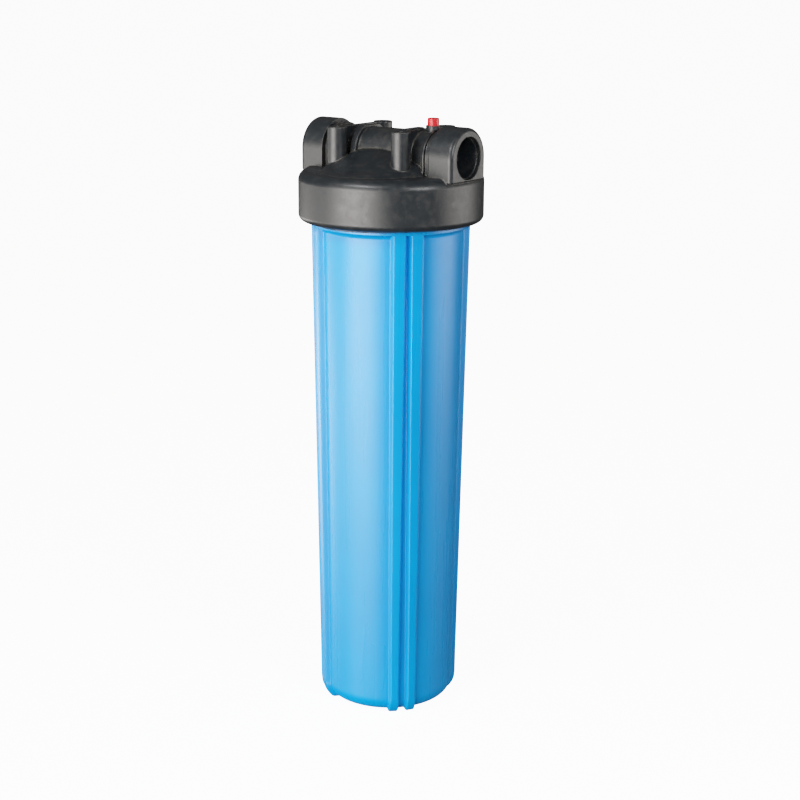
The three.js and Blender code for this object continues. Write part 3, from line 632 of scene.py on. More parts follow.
def head_mesh():
    """The head's surface, found on a grid, thinned, and put exactly on the field."""
    margin = 2 * HEAD_CELL
    low = np.array([-HEAD_RADIUS - margin, -HEAD_RADIUS - margin, SKIRT_LOW_Z - margin])
    high = np.array([HEAD_RADIUS + margin, HEAD_RADIUS + margin, CUP_TOP_Z + margin])
    counts = np.ceil((high - low) / HEAD_CELL).astype(int) + 1
    values = field_on_grid(head_field, low, counts, HEAD_CELL)
    points, quads = surface_net(values, low, HEAD_CELL)
    made = mesh_object("head_form", (points, quads.tolist()), weld=False)
    thin = made.modifiers.new("thin", "DECIMATE")
    thin.ratio = min(1.0, HEAD_TRIANGLES / (2 * len(quads)))
    evaluated = made.evaluated_get(bpy.context.evaluated_depsgraph_get())
    mesh = bpy.data.meshes.new_from_object(evaluated)
    bpy.data.objects.remove(made)
    placed = np.zeros(len(mesh.vertices) * 3)
    mesh.vertices.foreach_get("co", placed)
    placed = placed.reshape(-1, 3) / MM
    for _ in range(SETTLING_PASSES):
        _, slope = field_slope(head_field, placed)
        strength = np.maximum((slope**2).sum(1), LEAST_SLOPE_SQUARED)
        move = -(head_field(*placed.T) / strength)[:, None] * slope
        placed += np.clip(move, -0.5 * HEAD_CELL, 0.5 * HEAD_CELL)
    normals, _ = field_slope(head_field, placed)
    mesh.vertices.foreach_set("co", (placed * MM).ravel())
    mesh.update()
    mesh.shade_smooth()
    mesh.normals_split_custom_set_from_vertices(normals.tolist())
    bend = bend_of_field(head_field, placed, BEND_REACH)
    for name, amount in (("edge", np.clip(bend, 0, 1)), ("hollow", np.clip(-bend, 0, 1))):
        attribute = mesh.attributes.new(name, "FLOAT", "POINT")
        attribute.data.foreach_set("value", amount.astype(np.float32))
    mesh.name = "head_moulding"
    return mesh


def make_head():
    made = bpy.data.objects.new("head_moulding", head_mesh())
    bpy.context.scene.collection.objects.link(made)
    return made


# ---------------------------------------------------------------- sump
def wall_radius(z):
    return np.interp(z, [CORNER_Z, WALL_TOP_Z], [WALL_RADIUS_LOW, WALL_RADIUS_HIGH])


def rib_half_section(half_width, height):
    """Points of (offset along the wall, height over it) from the middle of a rib to its foot."""
    lean = math.tan(RIB_SIDE_TURN / 2)
    side_length = height / math.sin(RIB_SIDE_TURN)
    scale = min(1.0, 0.9 * side_length / ((RIB_EDGE_ROUND + RIB_FOOT_ROUND) * lean))
    edge, foot = RIB_EDGE_ROUND * scale, RIB_FOOT_ROUND * scale
    run = height / math.tan(RIB_SIDE_TURN)
    start = half_width - edge * lean
    end = half_width + run + foot * lean
    angles = np.linspace(0, RIB_SIDE_TURN, 5)
    upper = [(start + edge * math.sin(a), height - edge * (1 - math.cos(a))) for a in angles]
    lower = [(end - foot * math.sin(a), foot * (1 - math.cos(a))) for a in angles[::-1]]
    face = [(share * start, height) for share in (0, 0.5, 0.93)]
    middle = ((upper[-1][0] + lower[0][0]) / 2, (upper[-1][1] + lower[0][1]) / 2)
    return face + upper + [middle] + lower + [(end + 0.25 * scale + 0.02, 0)]


def sump_ring(wall, normal, half_width, height, wide_steps=26, gap_steps=4):
    """One loop of the sump's outside, through every rib and panel."""
    face_radius = wall[0] + normal[0] * height
    half = rib_half_section(half_width, height)
    section = [(-offset, up) for offset, up in half[::-1]] + half[1:]
    angles, heights = [], []
    for pair_angle in RIB_PAIR_ANGLES:
        for side in (-1, 1):
            for offset, up in section:
                angles.append(pair_angle + (side * RIB_SPACING / 2 + offset) / face_radius)
                heights.append(up)
            following = (
                pair_angle + (RIB_SPACING / 2 + section[0][0]) / face_radius
                if side < 0
                else pair_angle + math.pi / 2 - (RIB_SPACING / 2 - section[0][0]) / face_radius
            )
            steps = gap_steps if side < 0 else wide_steps
            between = np.linspace(angles[-1], following, steps + 1)[1:-1]
            angles += between.tolist()
            heights += [0.0] * len(between)
    angles, heights = np.array(angles), np.array(heights)
    radius = wall[0] + normal[0] * heights
    z = wall[1] + normal[1] * heights
    return np.stack([radius * np.cos(angles), radius * np.sin(angles), z], 1)


def sump_stations():
    """Places up the sump's outside: wall point, outward direction, rib half-width and height."""
    stations = []
    corner_centre = WALL_RADIUS_LOW - CORNER_RADIUS

    def underside(radius):
        return UNDERSIDE_Z + UNDERSIDE_RISE * (1 - radius / corner_centre)

    foot_width = RIB_HALF_WIDTH_LOW + RIB_FOOT_EXTRA
    for radius in UNDERSIDE_RADII:
        stations.append(((radius, underside(radius)), (0, -1), foot_width, LEAST_RIB_HEIGHT))
    for radius, share in RIB_START:
        stations.append(((radius, underside(radius)), (0, -1), foot_width, share * underside(radius)))
    for angle in CORNER_ANGLES:
        normal = (math.cos(angle), math.sin(angle))
        wall = (corner_centre + CORNER_RADIUS * normal[0], CORNER_Z + CORNER_RADIUS * normal[1])
        height = min(RIB_HEIGHT_LOW, CORNER_Z / max(-normal[1], 1e-6) - CORNER_RADIUS)
        stations.append((wall, normal, foot_width, height))
    face_heights = [CORNER_Z, RIB_FACE_LOW[0], COLLAR_Z]
    face_foot = corner_centre + CORNER_RADIUS + RIB_HEIGHT_LOW + RIB_FACE_FOOT_EXTRA
    for z in WALL_RING_HEIGHTS:
        face = np.interp(z, face_heights, [face_foot, RIB_FACE_LOW[1], COLLAR_RADIUS])
        width = np.interp(z, [0, COLLAR_Z], [RIB_HALF_WIDTH_LOW, RIB_HALF_WIDTH_HIGH])
        stations.append(((float(wall_radius(z)), z), (1, 0), width, float(face - wall_radius(z))))
    flare_run = COLLAR_RADIUS - WALL_RADIUS_HIGH
    for angle in np.radians(np.linspace(0, 90, 9)):
        radius = WALL_RADIUS_HIGH + flare_run * (1 - math.cos(angle))
        z = WALL_TOP_Z - FLARE_DROP + (COLLAR_Z - WALL_TOP_Z + FLARE_DROP) * math.sin(angle)
        height = COLLAR_RADIUS - radius + LEAST_RIB_HEIGHT
        stations.append(((radius, z), (1, 0), RIB_HALF_WIDTH_HIGH, height))
    return stations


def sump_neck_and_bore():
    """An outline of (radius, z) over the rim, down the bore and across the floor to the middle."""
    inner_corner = CORNER_RADIUS - WALL_THICKNESS
    corner_centre = WALL_RADIUS_LOW - CORNER_RADIUS
    return rounded(
        [
            (COLLAR_RADIUS, COLLAR_Z + FLARE_DROP, 0),
            (COLLAR_RADIUS, RIM_Z, 1.0),
            (GROOVE_RADII[0], RIM_Z, 0.4),
            (GROOVE_RADII[0], GROOVE_FLOOR_Z, 0.4),
            (GROOVE_RADII[1], GROOVE_FLOOR_Z, 0.4),
            (GROOVE_RADII[1], RIM_Z, 0.4),
            (NECK_BORE_RADIUS, RIM_Z, 0.8),
            (NECK_BORE_RADIUS, COLLAR_Z + 8, 4),
            (WALL_RADIUS_HIGH - WALL_THICKNESS, WALL_TOP_Z, 4),
            (corner_centre + inner_corner, FLOOR_Z + 1, inner_corner),
            (SEAT_RING_FOOT_RADIUS, FLOOR_Z, 1.5),
            (SEAT_RING_RADII[0], SEAT_RING_TOP_Z, 0.5),
            (SEAT_RING_RADII[1], SEAT_RING_TOP_Z, 0.3),
            (SPIGOT_FOOT_RADII[0], SPIGOT_FOOT_Z, 0.8),
            (SPIGOT_FOOT_RADII[1], SPIGOT_FOOT_Z, 0.8),
            (*SPIGOT_SHOULDER, 0.6),
            (*SPIGOT_TOP, 0.6),
            (0, SPIGOT_TOP[1], 0),
        ]
    )


def sump_thread():
    """The thread outside the neck."""
    foot, crest = MALE_HALF_WIDTHS
    section = rounded(
        [
            (MALE_FOOT_RADIUS, -foot, 0),
            (MALE_CREST_RADIUS, -crest, THREAD_CREST_ROUND),
            (MALE_CREST_RADIUS, crest, THREAD_CREST_ROUND),
            (MALE_FOOT_RADIUS, foot, 0),
        ]
    )
    return helix_ridge(section, MALE_START_Z, THREAD_TURNS, THREAD_LEAD, MALE_STEPS_ROUND)


def make_sump():
    rings = [sump_ring(*station) for station in sump_stations()]
    columns = len(rings[0])
    centre = np.tile([0.0, 0.0, UNDERSIDE_Z + UNDERSIDE_RISE], (columns, 1))
    angles = np.arctan2(rings[-1][:, 1], rings[-1][:, 0])
    for radius, z in sump_neck_and_bore():
        rings.append(np.stack([radius * np.cos(angles), radius * np.sin(angles), np.full(columns, z)], 1))
    shell = np.concatenate([centre] + rings), grid_faces(len(rings) + 1, columns)
    return mesh_object("sump_moulding", merged(shell, sump_thread()))


# ---------------------------------------------------------------- finishes
class Nodes:
    """A node tree that grows with short calls."""

    def __init__(self, tree):
        self.tree = tree

    def node(self, kind, **settings):
        made = self.tree.nodes.new(kind)
        for name, value in settings.items():
            setattr(made, name, value)
        return made

    def link(self, output, target):
        self.tree.links.new(output, target)

    def sum_or_product(self, operation, a, b):
        node = self.node("ShaderNodeMath", operation=operation)
        self.link(a, node.inputs[0])
        if isinstance(b, float):
            node.inputs[1].default_value = b
        else:
            self.link(b, node.inputs[1])
        return node.outputs[0]

    def times(self, a, b):
        return self.sum_or_product("MULTIPLY", a, b)

    def plus(self, a, b):
        return self.sum_or_product("ADD", a, b)

    def spread(self, value, low, high, to_low=0.0, to_high=1.0, smooth=False):
        """Maps a stretch of a value onto another range, and keeps it inside that range."""
        node = self.node("ShaderNodeMapRange")
        node.interpolation_type = "SMOOTHSTEP" if smooth else "LINEAR"
        self.link(value, node.inputs["Value"])
        for socket, number in (
            ("From Min", low), ("From Max", high), ("To Min", to_low), ("To Max", to_high),
        ):
            node.inputs[socket].default_value = number
        return node.outputs["Result"]

    def window(self, value, start, full, fade, end):
        """One between two numbers, falling smoothly to nothing on both sides."""
        rise = self.spread(value, start, full, smooth=True)
        fall = self.spread(value, fade, end, 1.0, 0.0, smooth=True)
        return self.times(rise, fall)


class Finish(Nodes):
    """A material with its object coordinates and its shader at hand."""

    def __init__(self, name):
        self.material = bpy.data.materials.new(name)
        self.material.use_nodes = True
        super().__init__(self.material.node_tree)
        self.shader = self.tree.nodes["Principled BSDF"]
        self.place = self.node("ShaderNodeTexCoord").outputs["Object"]

    def fix(self, **sockets):
        """Sets the shader's own sockets, named with underscores for spaces."""
        for name, value in sockets.items():
            self.shader.inputs[name.replace("_", " ")].default_value = value

    def noise(self, scale, detail=2.0, roughness=0.5, stretch=(1, 1, 1)):
        mapping = self.node("ShaderNodeMapping")
        mapping.inputs["Scale"].default_value = stretch
        self.link(self.place, mapping.inputs["Vector"])
        noise = self.node("ShaderNodeTexNoise")
        self.link(mapping.outputs["Vector"], noise.inputs["Vector"])
        noise.inputs["Scale"].default_value = scale
        noise.inputs["Detail"].default_value = detail
        noise.inputs["Roughness"].default_value = roughness
        return noise.outputs["Fac"]

    def mix(self, amount, first, second):
        """A colour between two, each a colour or an output."""
        node = self.node("ShaderNodeMix", data_type="RGBA")
        self.link(amount, node.inputs["Factor"])
        for socket, value in (("A", first), ("B", second)):
            target = next(s for s in node.inputs if s.name == socket and s.type == "RGBA")
            if isinstance(value, tuple):
                target.default_value = (*value, 1)
            else:
                self.link(value, target)
        return next(s for s in node.outputs if s.type == "RGBA")

    def colour(self, output):
        self.link(output, self.shader.inputs["Base Color"])

    def roughness(self, output):
        self.link(output, self.shader.inputs["Roughness"])

    def bump(self, height, depth, strength=1.0):
        node = self.node("ShaderNodeBump")
        node.inputs["Distance"].default_value = depth
        node.inputs["Strength"].default_value = strength
        self.link(height, node.inputs["Height"])
        self.link(node.outputs["Normal"], self.shader.inputs["Normal"])

    def attribute(self, name):
        node = self.node("ShaderNodeAttribute", attribute_type="GEOMETRY", attribute_name=name)
        return node.outputs["Fac"]


def black_plastic():
    """Glass-filled black polypropylene: satin, finely mottled, with a little dust in its corners."""
    finish = Finish("black_plastic")
    finish.fix(IOR=1.52)
    grain = finish.noise(1300, 2)
    mottle = finish.noise(150, 4, 0.6)
    patches = finish.noise(24, 3)
    dust = finish.times(finish.attribute("hollow"), finish.spread(mottle, 0.35, 0.7, 0.1, 1.0))
    base = finish.mix(finish.spread(patches, 0.35, 0.65), BLACK_DEEP, BLACK_PALE)
    base = finish.mix(finish.spread(mottle, 0.5, 0.8, 0.0, 0.25), base, BLACK_SPECK)
    base = finish.mix(finish.spread(dust, 0, 1, 0, 0.4), base, DUST)
    worn = finish.times(finish.attribute("edge"), finish.spread(mottle, 0.35, 0.65, 0.2, 1.0))
    finish.colour(finish.mix(finish.spread(worn, 0.4, 1, 0, 0.35), base, WORN_EDGE))
    finish.roughness(finish.spread(mottle, 0.25, 0.75, 0.30, 0.44))
    finish.bump(grain, 0.00006, 0.5)
    return finish.material


def blue_plastic():
    """Blue polypropylene: glossy under a faint orange peel, with long soft streaks of flow."""
    finish = Finish("blue_plastic")
    finish.fix(IOR=1.49)
    streaks = finish.noise(60, 3, 0.55, stretch=(1, 1, 0.06))
    peel = finish.noise(420, 2)
    cloud = finish.noise(14, 2)
    finish.colour(finish.mix(finish.spread(cloud, 0.3, 0.7), BLUE_DEEP, BLUE_PALE))
    finish.roughness(finish.spread(streaks, 0.3, 0.7, 0.25, 0.32))
    finish.bump(peel, 0.00005, 0.35)
    return finish.material


def cloth_finish():
    """White spun polyester: matt, with fine crossing fibres and soft clouds of tone."""
    finish = Finish("pleated_cloth")
    finish.fix(IOR=1.45, Roughness=0.9, Sheen_Weight=0.25)
    fibres = finish.plus(
        finish.noise(900, 3, 0.7, stretch=(1, 1, 0.12)), finish.noise(700, 3, 0.7, stretch=(0.3, 0.3, 1))
    )
    cloud = finish.noise(30, 3)
    finish.colour(finish.mix(finish.spread(cloud, 0.3, 0.7), CLOTH_DEEP, CLOTH_PALE))
    finish.bump(fibres, 0.0002, 0.6)
    return finish.material


def plain_finish(name, colour, roughness, metallic=0.0, grain_scale=900.0):
    """A moulded or drawn surface with a fine grain and a slight change of tone."""
    finish = Finish(name)
    finish.fix(IOR=1.5, Metallic=metallic)
    cloud = finish.noise(40, 3)
    darker = tuple(channel * (1 - TONE_CHANGE) for channel in colour)
    finish.colour(finish.mix(finish.spread(cloud, 0.3, 0.7), darker, colour))
    finish.roughness(finish.spread(cloud, 0.3, 0.7, roughness * 0.9, roughness * 1.1))
    finish.bump(finish.noise(grain_scale, 2), FINE_GRAIN_DEPTH, 0.5)
    return finish.material


# ---------------------------------------------------------------- studio
def make_camera():
    data = bpy.data.cameras.new("camera")
    data.sensor_width = SENSOR_WIDTH
    data.lens = CAMERA_LENS
    data.clip_end = 100
    camera = bpy.data.objects.new("camera", data)
    bearing, pitch, roll = (math.radians(v) for v in (CAMERA_BEARING, CAMERA_PITCH, CAMERA_ROLL))
    forward = Vector(
        (-math.sin(bearing) * math.cos(pitch), math.cos(bearing) * math.cos(pitch), -math.sin(pitch))
    )
    right = Vector((math.cos(bearing), math.sin(bearing), 0))
    up = right.cross(forward)
    tilted_right = right * math.cos(roll) + up * math.sin(roll)
    tilted_up = up * math.cos(roll) - right * math.sin(roll)
    turn = Matrix((tilted_right, tilted_up, -forward)).transposed().to_4x4()
    camera.matrix_world = Matrix.Translation(CAMERA_PLACE) @ turn
    bpy.context.scene.collection.objects.link(camera)
    bpy.context.scene.camera = camera


def softbox(name, bearing, height, distance, width, tall, power):
    """A soft white light on a circle round the object, in metres and watts. Bearing 0 is at -Y, and it
    grows towards +X."""
    data = bpy.data.lights.new(name, "AREA")
    data.shape = "RECTANGLE"
    data.size, data.size_y = width, tall
    data.energy = power
    light = bpy.data.objects.new(name, data)
    angle = math.radians(bearing)
    place = Vector((math.sin(angle) * distance, -math.cos(angle) * distance, height))
    aim = Vector((0, 0, SOFTBOX_AIM_Z)) - place
    light.matrix_world = Matrix.Translation(place) @ aim.to_track_quat("-Z", "Y").to_matrix().to_4x4()
    bpy.context.scene.collection.objects.link(light)


def make_world():
    """White to the camera. The object is lit by a strip of light on the left, by a wide low patch there,
    by a weaker strip on the right, by a glow from above and by a dim surround."""
    world = bpy.data.worlds.new("studio")
    world.use_nodes = True
    bpy.context.scene.world = world
    sky = Nodes(world.node_tree)
    sky.tree.nodes.clear()
    place = sky.node("ShaderNodeSeparateXYZ")
    sky.link(sky.node("ShaderNodeTexCoord").outputs["Generated"], place.inputs[0])
    east, north, up = place.outputs
    turn = sky.node("ShaderNodeMath", operation="ARCTAN2")
    sky.link(east, turn.inputs[0])
    sky.link(sky.times(north, -1.0), turn.inputs[1])
    bearing = sky.times(turn.outputs[0], math.degrees(1))
    strength = SURROUND_POWER
    for bearings, heights, power in (
        (LEFT_STRIP_BEARINGS, STRIP_HEIGHTS, LEFT_STRIP_POWER),
        (LEFT_SPILL_BEARINGS, STRIP_HEIGHTS, LEFT_SPILL_POWER),
        (RIGHT_STRIP_BEARINGS, RIGHT_STRIP_HEIGHTS, RIGHT_STRIP_POWER),
        (LOW_LEFT_BEARINGS, LOW_LEFT_HEIGHTS, LOW_LEFT_POWER),
    ):
        patch = sky.times(sky.window(bearing, *bearings), sky.window(up, *heights))
        strength = sky.plus(sky.times(patch, power), strength)
    glow = sky.times(sky.window(up, *TOP_GLOW_HEIGHTS), TOP_GLOW_POWER)
    strength = sky.plus(strength, glow)
    seen = sky.node("ShaderNodeBackground")
    seen.inputs["Color"].default_value = (1, 1, 1, 1)
    seen.inputs["Strength"].default_value = 1.2 * WHITE_LEVEL
    lighting = sky.node("ShaderNodeBackground")
    lighting.inputs["Color"].default_value = (*STRIP_COLOUR, 1)
    sky.link(strength, lighting.inputs["Strength"])
    path = sky.node("ShaderNodeLightPath")
    choose = sky.node("ShaderNodeMixShader")
    sky.link(path.outputs["Is Camera Ray"], choose.inputs["Fac"])
    sky.link(lighting.outputs[0], choose.inputs[1])
    sky.link(seen.outputs[0], choose.inputs[2])
    sky.link(choose.outputs[0], sky.node("ShaderNodeOutputWorld").inputs["Surface"])


def make_floor():
    """A white floor that only the camera sees."""
    mesh = bpy.data.meshes.new("floor")
    corners = [(x * FLOOR_HALF_SIZE, y * FLOOR_HALF_SIZE, -FLOOR_DROP)
               for x, y in ((-1, -1), (1, -1), (1, 1), (-1, 1))]
    mesh.from_pydata(corners, [], [(0, 1, 2, 3)])
    floor = bpy.data.objects.new("floor", mesh)
    bpy.context.scene.collection.objects.link(floor)
    material = bpy.data.materials.new("floor")
    material.use_nodes = True
    shader = material.node_tree.nodes["Principled BSDF"]
    shader.inputs["Base Color"].default_value = (0.85, 0.85, 0.85, 1)
    shader.inputs["Roughness"].default_value = 0.9
    shader.inputs["Specular IOR Level"].default_value = 0.0
    shader.inputs["Emission Color"].default_value = (1, 1, 1, 1)
    shader.inputs["Emission Strength"].default_value = FLOOR_GLOW
    mesh.materials.append(material)
    floor.visible_diffuse = False
    floor.visible_glossy = False
    floor.visible_shadow = False


def soften_highlights(view):
    """Bends bright tones softly towards white."""
    view.use_curve_mapping = True
    curves = view.curve_mapping
    curves.white_level = (WHITE_LEVEL,) * 3
    curve = curves.curves[3]
    for share in CURVE_SHARES:
        curve.points.new(share, 1 - math.exp(-TONE_STEEPNESS * WHITE_LEVEL * share))
    curves.update()


def make_studio():
    view = bpy.context.scene.view_settings
    view.view_transform = "Standard"
    view.look = "None"
    soften_highlights(view)
    make_world()
    make_floor()
    softbox("top_softbox", bearing=-4, height=1.3, distance=0.95, width=0.6, tall=0.2, power=8)
    softbox("right_fill", bearing=74, height=1.0, distance=1.3, width=0.5, tall=0.4, power=9)


# ---------------------------------------------------------------- small round parts
def ring_section(radius, section, centre_z, flash, sides=24):
    """Corners of a round ring's section, with a thin mould line round its outside and inside."""
    angles = np.linspace(0, 2 * math.pi, sides, endpoint=False)
    sizes = section + flash * (np.abs(np.cos(angles)) > 0.999)
    return [(radius + s * math.cos(a), centre_z + s * math.sin(a), 0) for a, s in zip(angles, sizes)]


def make_main_o_ring():
    outer, low, high = node_span("main_o_ring")
    section = (high - low) / 2
    corners = ring_section(outer - section, section, low + section, flash=0.06)
    return mesh_object("main_o_ring_rubber", turned(corners, 192))


def make_relief_o_ring():
    outer, low, high = node_span("relief_o_ring")
    section = (high - low) / 2
    corners = ring_section(outer - section, section, low + section, flash=0.03)
    return mesh_object("relief_o_ring_rubber", turned(corners, 72, RELIEF_X))


def make_button():
    _, low, high = node_span("relief_button")
    tip = high - BUTTON_TIP_WALL
    corners = [
        (SPRING_POCKET_RADIUS, low, 0.2),
        (BUTTON_RADIUS, low, 0.3),
        (BUTTON_RADIUS, high, 1.1),
        (BUTTON_DISH_RADIUS, high, 0.5),
        (0, high - BUTTON_DISH_DEPTH, 0),
        (0, tip, 0),
        (STEM_RADIUS + 0.3, tip, 0),
        (STEM_RADIUS + 0.3, tip - BUTTON_SOCKET, 0),
        (SPRING_POCKET_RADIUS, tip - BUTTON_SOCKET, 0.2),
    ]
    return mesh_object("relief_push_button", turned(corners, 72, RELIEF_X))


def make_stem():
    _, low, high = node_span("relief_stem")
    groove = low + 0.45 * (high - low)
    corners = [
        (0, low, 0),
        (STEM_RADIUS, low, 0.15),
        (STEM_RADIUS, groove, 0.1),
        (STEM_RADIUS - 0.25, groove + 0.15, 0.1),
        (STEM_RADIUS - 0.25, groove + 0.65, 0.1),
        (STEM_RADIUS, groove + 0.8, 0.1),
        (STEM_RADIUS, high - 0.5, 0.1),
        (STEM_RADIUS - 0.45, high, 0.1),
        (0, high, 0),
    ]
    return mesh_object("relief_stem_turned", turned(corners, 48, RELIEF_X, closed=False))


def make_valve_disc():
    radius, low, high = node_span("relief_valve_disc")
    floor = low + 0.5
    corners = [
        (0, low, 0),
        (radius - 0.9, low, 0.2),
        (radius, low + 0.8, 0.4),
        (radius, high, 0.35),
        (STEM_RADIUS + 0.3, high, 0.15),
        (STEM_RADIUS + 0.3, floor, 0),
        (0, floor, 0),
    ]
    return mesh_object("relief_disc_moulding", turned(corners, 64, RELIEF_X, closed=False))


def coil_height(turn):
    """How far up a spring's wire is, as a share of its height, with both end turns wound closed."""
    lift = np.clip(turn - 1, 0, SPRING_TURNS - 2) / (SPRING_TURNS - 2)
    rest = 2 * SPRING_WIRE_RADIUS * SPRING_END_SHARE
    closed = np.clip(turn, 0, 1) + np.clip(turn - SPRING_TURNS + 1, 0, 1)
    return rest * closed + (1 - 2 * rest) * lift


def make_spring():
    """A coil spring of round wire. Its ends are closed and flat."""
    outer, low, high = node_span("relief_spring")
    coil = outer - SPRING_WIRE_RADIUS
    turns = np.linspace(0, SPRING_TURNS, SPRING_TURNS * 40 + 1)
    z = low + SPRING_WIRE_RADIUS + coil_height(turns) * (high - low - 2 * SPRING_WIRE_RADIUS)
    points = []
    around = np.linspace(0, 2 * math.pi, 12, endpoint=False)
    for turn, height in zip(turns, z):
        angle = 2 * math.pi * turn
        for side in around:
            radius = coil + SPRING_WIRE_RADIUS * math.cos(side)
            rise = height + SPRING_WIRE_RADIUS * math.sin(side)
            points.append((RELIEF_X + radius * math.cos(angle), radius * math.sin(angle), rise))
    faces = grid_faces(len(turns), len(around))
    faces += [list(range(len(around)))[::-1], list(range(len(points) - len(around), len(points)))]
    return mesh_object("relief_spring_coil", (np.array(points), faces), weld=False)


# ---------------------------------------------------------------- cartridge
def make_gasket(node):
    """A flat rubber ring with three raised beads on both faces."""
    outer, low, high = node_span(node)
    beads = np.linspace(CARTRIDGE_HOLE_RADIUS + 2, outer - 2, 3)
    upper = [(CARTRIDGE_HOLE_RADIUS, high - BEAD_HEIGHT, 0.2)]
    for bead in beads:
        upper += [
            (bead - BEAD_HALF_WIDTH, high - BEAD_HEIGHT, 0.2),
            (bead, high, 0.3),
            (bead + BEAD_HALF_WIDTH, high - BEAD_HEIGHT, 0.2),
        ]
    upper.append((outer, high - BEAD_HEIGHT, 0.3))
    lower = [(radius, low + high - z, rounding) for radius, z, rounding in upper[::-1]]
    return mesh_object(node + "_rubber", turned(upper[::-1] + lower[::-1], 96, fineness=3))


def make_end_cap(node, facing):
    """A moulded cap on the pleats' ends, with two shallow grooves in its outer face."""
    outer, low, high = node_span(node)
    face, inner = (high, low) if facing > 0 else (low, high)
    sunk = face - facing * END_CAP_STEP
    corners = [
        (CARTRIDGE_HOLE_RADIUS, inner, 0.3),
        (CARTRIDGE_HOLE_RADIUS, face, 0.6),
        (END_CAP_GROOVE[0], face, 0.4),
        (END_CAP_GROOVE[1], sunk, 0.3),
        (END_CAP_GROOVE[2], sunk, 0.3),
        (END_CAP_GROOVE[3], face, 0.3),
        (END_CAP_OUTER_GROOVE[0], face, 0.3),
        (END_CAP_OUTER_GROOVE[1], sunk, 0.3),
        (outer - 4, sunk, 0.5),
        (outer - 3, face, 0.5),
        (outer, face, 1.4),
        (outer - 0.5, inner, 0.4),
    ]
    return mesh_object(node + "_moulding", turned(corners, 160, fineness=4))


def make_core(node):
    """A tube with rows of slots, every other row turned by half a step."""
    outer, low, high = node_span(node)
    inner = outer - CORE_WALL
    columns = CORE_COLUMNS
    slot_pitch = columns // CORE_SLOTS_ROUND
    pitch = (high - low) / CORE_ROWS
    levels = [low]
    for row in range(CORE_ROWS):
        levels += [low + (row + share) * pitch for share in CORE_SLOT_SPAN]
    levels.append(high)
    open_cells = np.zeros((len(levels) - 1, columns), bool)
    for row in range(CORE_ROWS):
        phase = (row % 2) * slot_pitch // 2
        for column in range(columns):
            open_cells[2 * row + 1, column] = (column + phase) % slot_pitch < CORE_SLOT_COLUMNS
    angles = np.linspace(0, 2 * math.pi, columns, endpoint=False)
    points = [
        (radius * math.cos(angle), radius * math.sin(angle), z)
        for radius in (outer, inner)
        for z in levels
        for angle in angles
    ]
    layer = len(levels) * columns

    def corner(level, column):
        return level * columns + column % columns

    faces = []
    for level in range(len(levels) - 1):
        for column in range(columns):
            if open_cells[level, column]:
                continue
            quad = [
                corner(level, column), corner(level, column + 1),
                corner(level + 1, column + 1), corner(level + 1, column),
            ]
            faces += [quad, [layer + index for index in quad[::-1]]]
            for first, second, neighbour in (
                (quad[1], quad[2], (level, (column + 1) % columns)),
                (quad[3], quad[0], (level, (column - 1) % columns)),
                (quad[2], quad[3], (level + 1, column)),
                (quad[0], quad[1], (level - 1, column)),
            ):
                outside = neighbour[0] in (-1, len(levels) - 1)
                if outside or open_cells[neighbour]:
                    faces.append([second, first, layer + first, layer + second])
    made = mesh_object(node + "_moulding", (np.array(points), faces))
    made.data.set_sharp_from_angle(angle=math.radians(40))
    return made


def fold_line(offset):
    """One side of the pleated cloth in plan, as points of (angle share, radius), with round folds."""
    points = []
    inner, outer = PLEAT_ROOT_RADIUS + PLEAT_FOLD, PLEAT_TIP_RADIUS - PLEAT_FOLD
    size = PLEAT_FOLD + offset
    for pleat in range(PLEATS):
        middle = 2 * math.pi * pleat / PLEATS
        for turn in np.linspace(-80, 80, 9):
            angle = math.radians(turn)
            points.append((middle + size * math.sin(angle) / outer, outer + size * math.cos(angle)))
        between = middle + math.pi / PLEATS
        size_in = PLEAT_FOLD - offset
        for turn in np.linspace(-70, 70, 7):
            angle = math.radians(turn)
            points.append((between + size_in * math.sin(angle) / inner, inner - size_in * math.cos(angle)))
    return np.array(points)


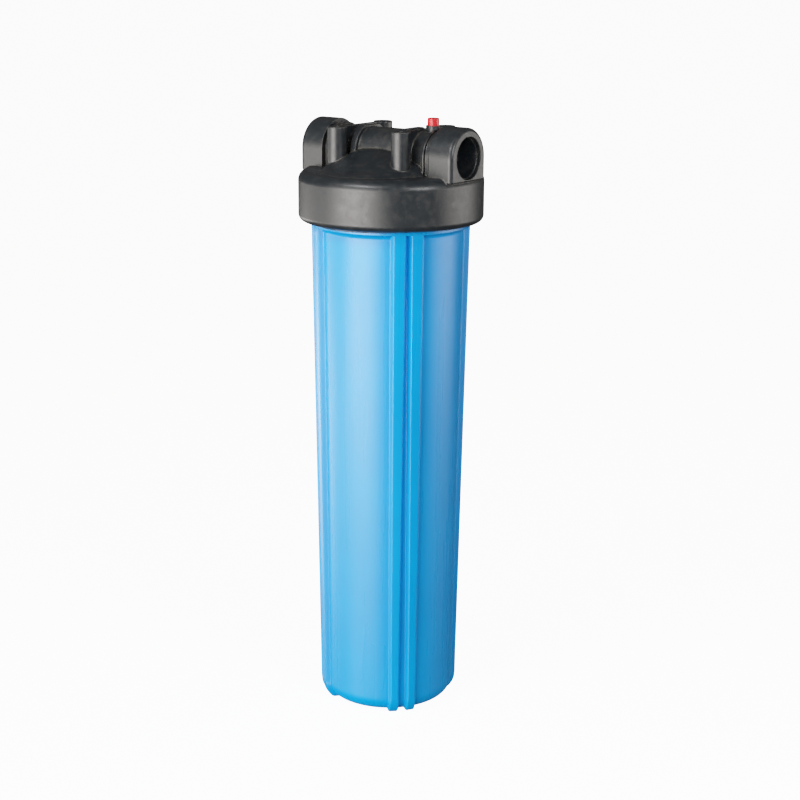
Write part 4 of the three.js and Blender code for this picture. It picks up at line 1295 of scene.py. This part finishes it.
def make_pleats():
    """The cloth: one wall that folds in and out round the core, a little uneven from top to bottom."""
    _, low, high = node_span("cartridge_pleats")
    lines = [fold_line(PLEAT_THICKNESS / 2), fold_line(-PLEAT_THICKNESS / 2)]
    levels = np.linspace(low, high, 41)
    points = []
    for line in lines:
        for z in levels:
            reach = (line[:, 1] - PLEAT_ROOT_RADIUS) / (PLEAT_TIP_RADIUS - PLEAT_ROOT_RADIUS)
            wave = sum(swing * np.sin(z / rise + twist * line[:, 0]) for swing, rise, twist in PLEAT_WAVES)
            angle = line[:, 0] + wave * reach
            across, along = line[:, 1] * np.cos(angle), line[:, 1] * np.sin(angle)
            points.append(np.stack([across, along, np.full(len(line), z)], 1))
    columns, rows = len(lines[0]), len(levels)
    faces = grid_faces(rows, columns)
    start = rows * columns
    faces += [[start + index for index in face[::-1]] for face in grid_faces(rows, columns)]
    for level, order in ((0, 1), (rows - 1, -1)):
        for column in range(columns):
            beside = (column + 1) % columns
            outer = [level * columns + beside, level * columns + column]
            face = outer + [start + level * columns + column, start + level * columns + beside]
            faces.append(face[::order])
    return mesh_object("cartridge_pleated_cloth", (np.concatenate(points), faces), weld=False)


# ---------------------------------------------------------------- assembly
def finished(piece, material, body, node):
    """Gives a piece its finish and its body, and hides the CAD node that it stands for."""
    piece.data.materials.clear()
    piece.data.materials.append(material)
    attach(piece, body)
    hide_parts(node)
    return piece


def build_cartridge(rubber, white):
    cloth = cloth_finish()
    for end, facing in (("bottom", -1), ("top", 1)):
        gasket, cap = "cartridge_gasket_" + end, "cartridge_end_cap_" + end
        finished(make_gasket(gasket), rubber, "sump", gasket)
        finished(make_end_cap(cap, facing), white, "sump", cap)
    for core in ("cartridge_core_lower", "cartridge_core_upper"):
        finished(make_core(core), white, "sump", core)
    finished(make_pleats(), cloth, "sump", "cartridge_pleats")


def build_relief_valve(rubber, white):
    red = plain_finish("red_plastic", RED, 0.28)
    steel = plain_finish("stainless", STEEL, 0.3, metallic=1.0, grain_scale=2500)
    finished(make_button(), red, "relief_valve", "relief_button")
    finished(make_stem(), steel, "relief_valve", "relief_stem")
    finished(make_valve_disc(), white, "relief_valve", "relief_valve_disc")
    finished(make_relief_o_ring(), rubber, "relief_valve", "relief_o_ring")
    spring = finished(make_spring(), steel, "head", "relief_spring")
    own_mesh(spring)


def build():
    make_camera()
    make_studio()
    rubber = plain_finish("black_rubber", RUBBER, 0.5, grain_scale=700)
    white = plain_finish("white_plastic", WHITE_PLASTIC, 0.42)
    finished(make_head(), black_plastic(), "head", "head")
    finished(make_sump(), blue_plastic(), "sump", "sump")
    finished(make_main_o_ring(), rubber, "main_o_ring", "main_o_ring")
    build_relief_valve(rubber, white)
    build_cartridge(rubber, white)


build()
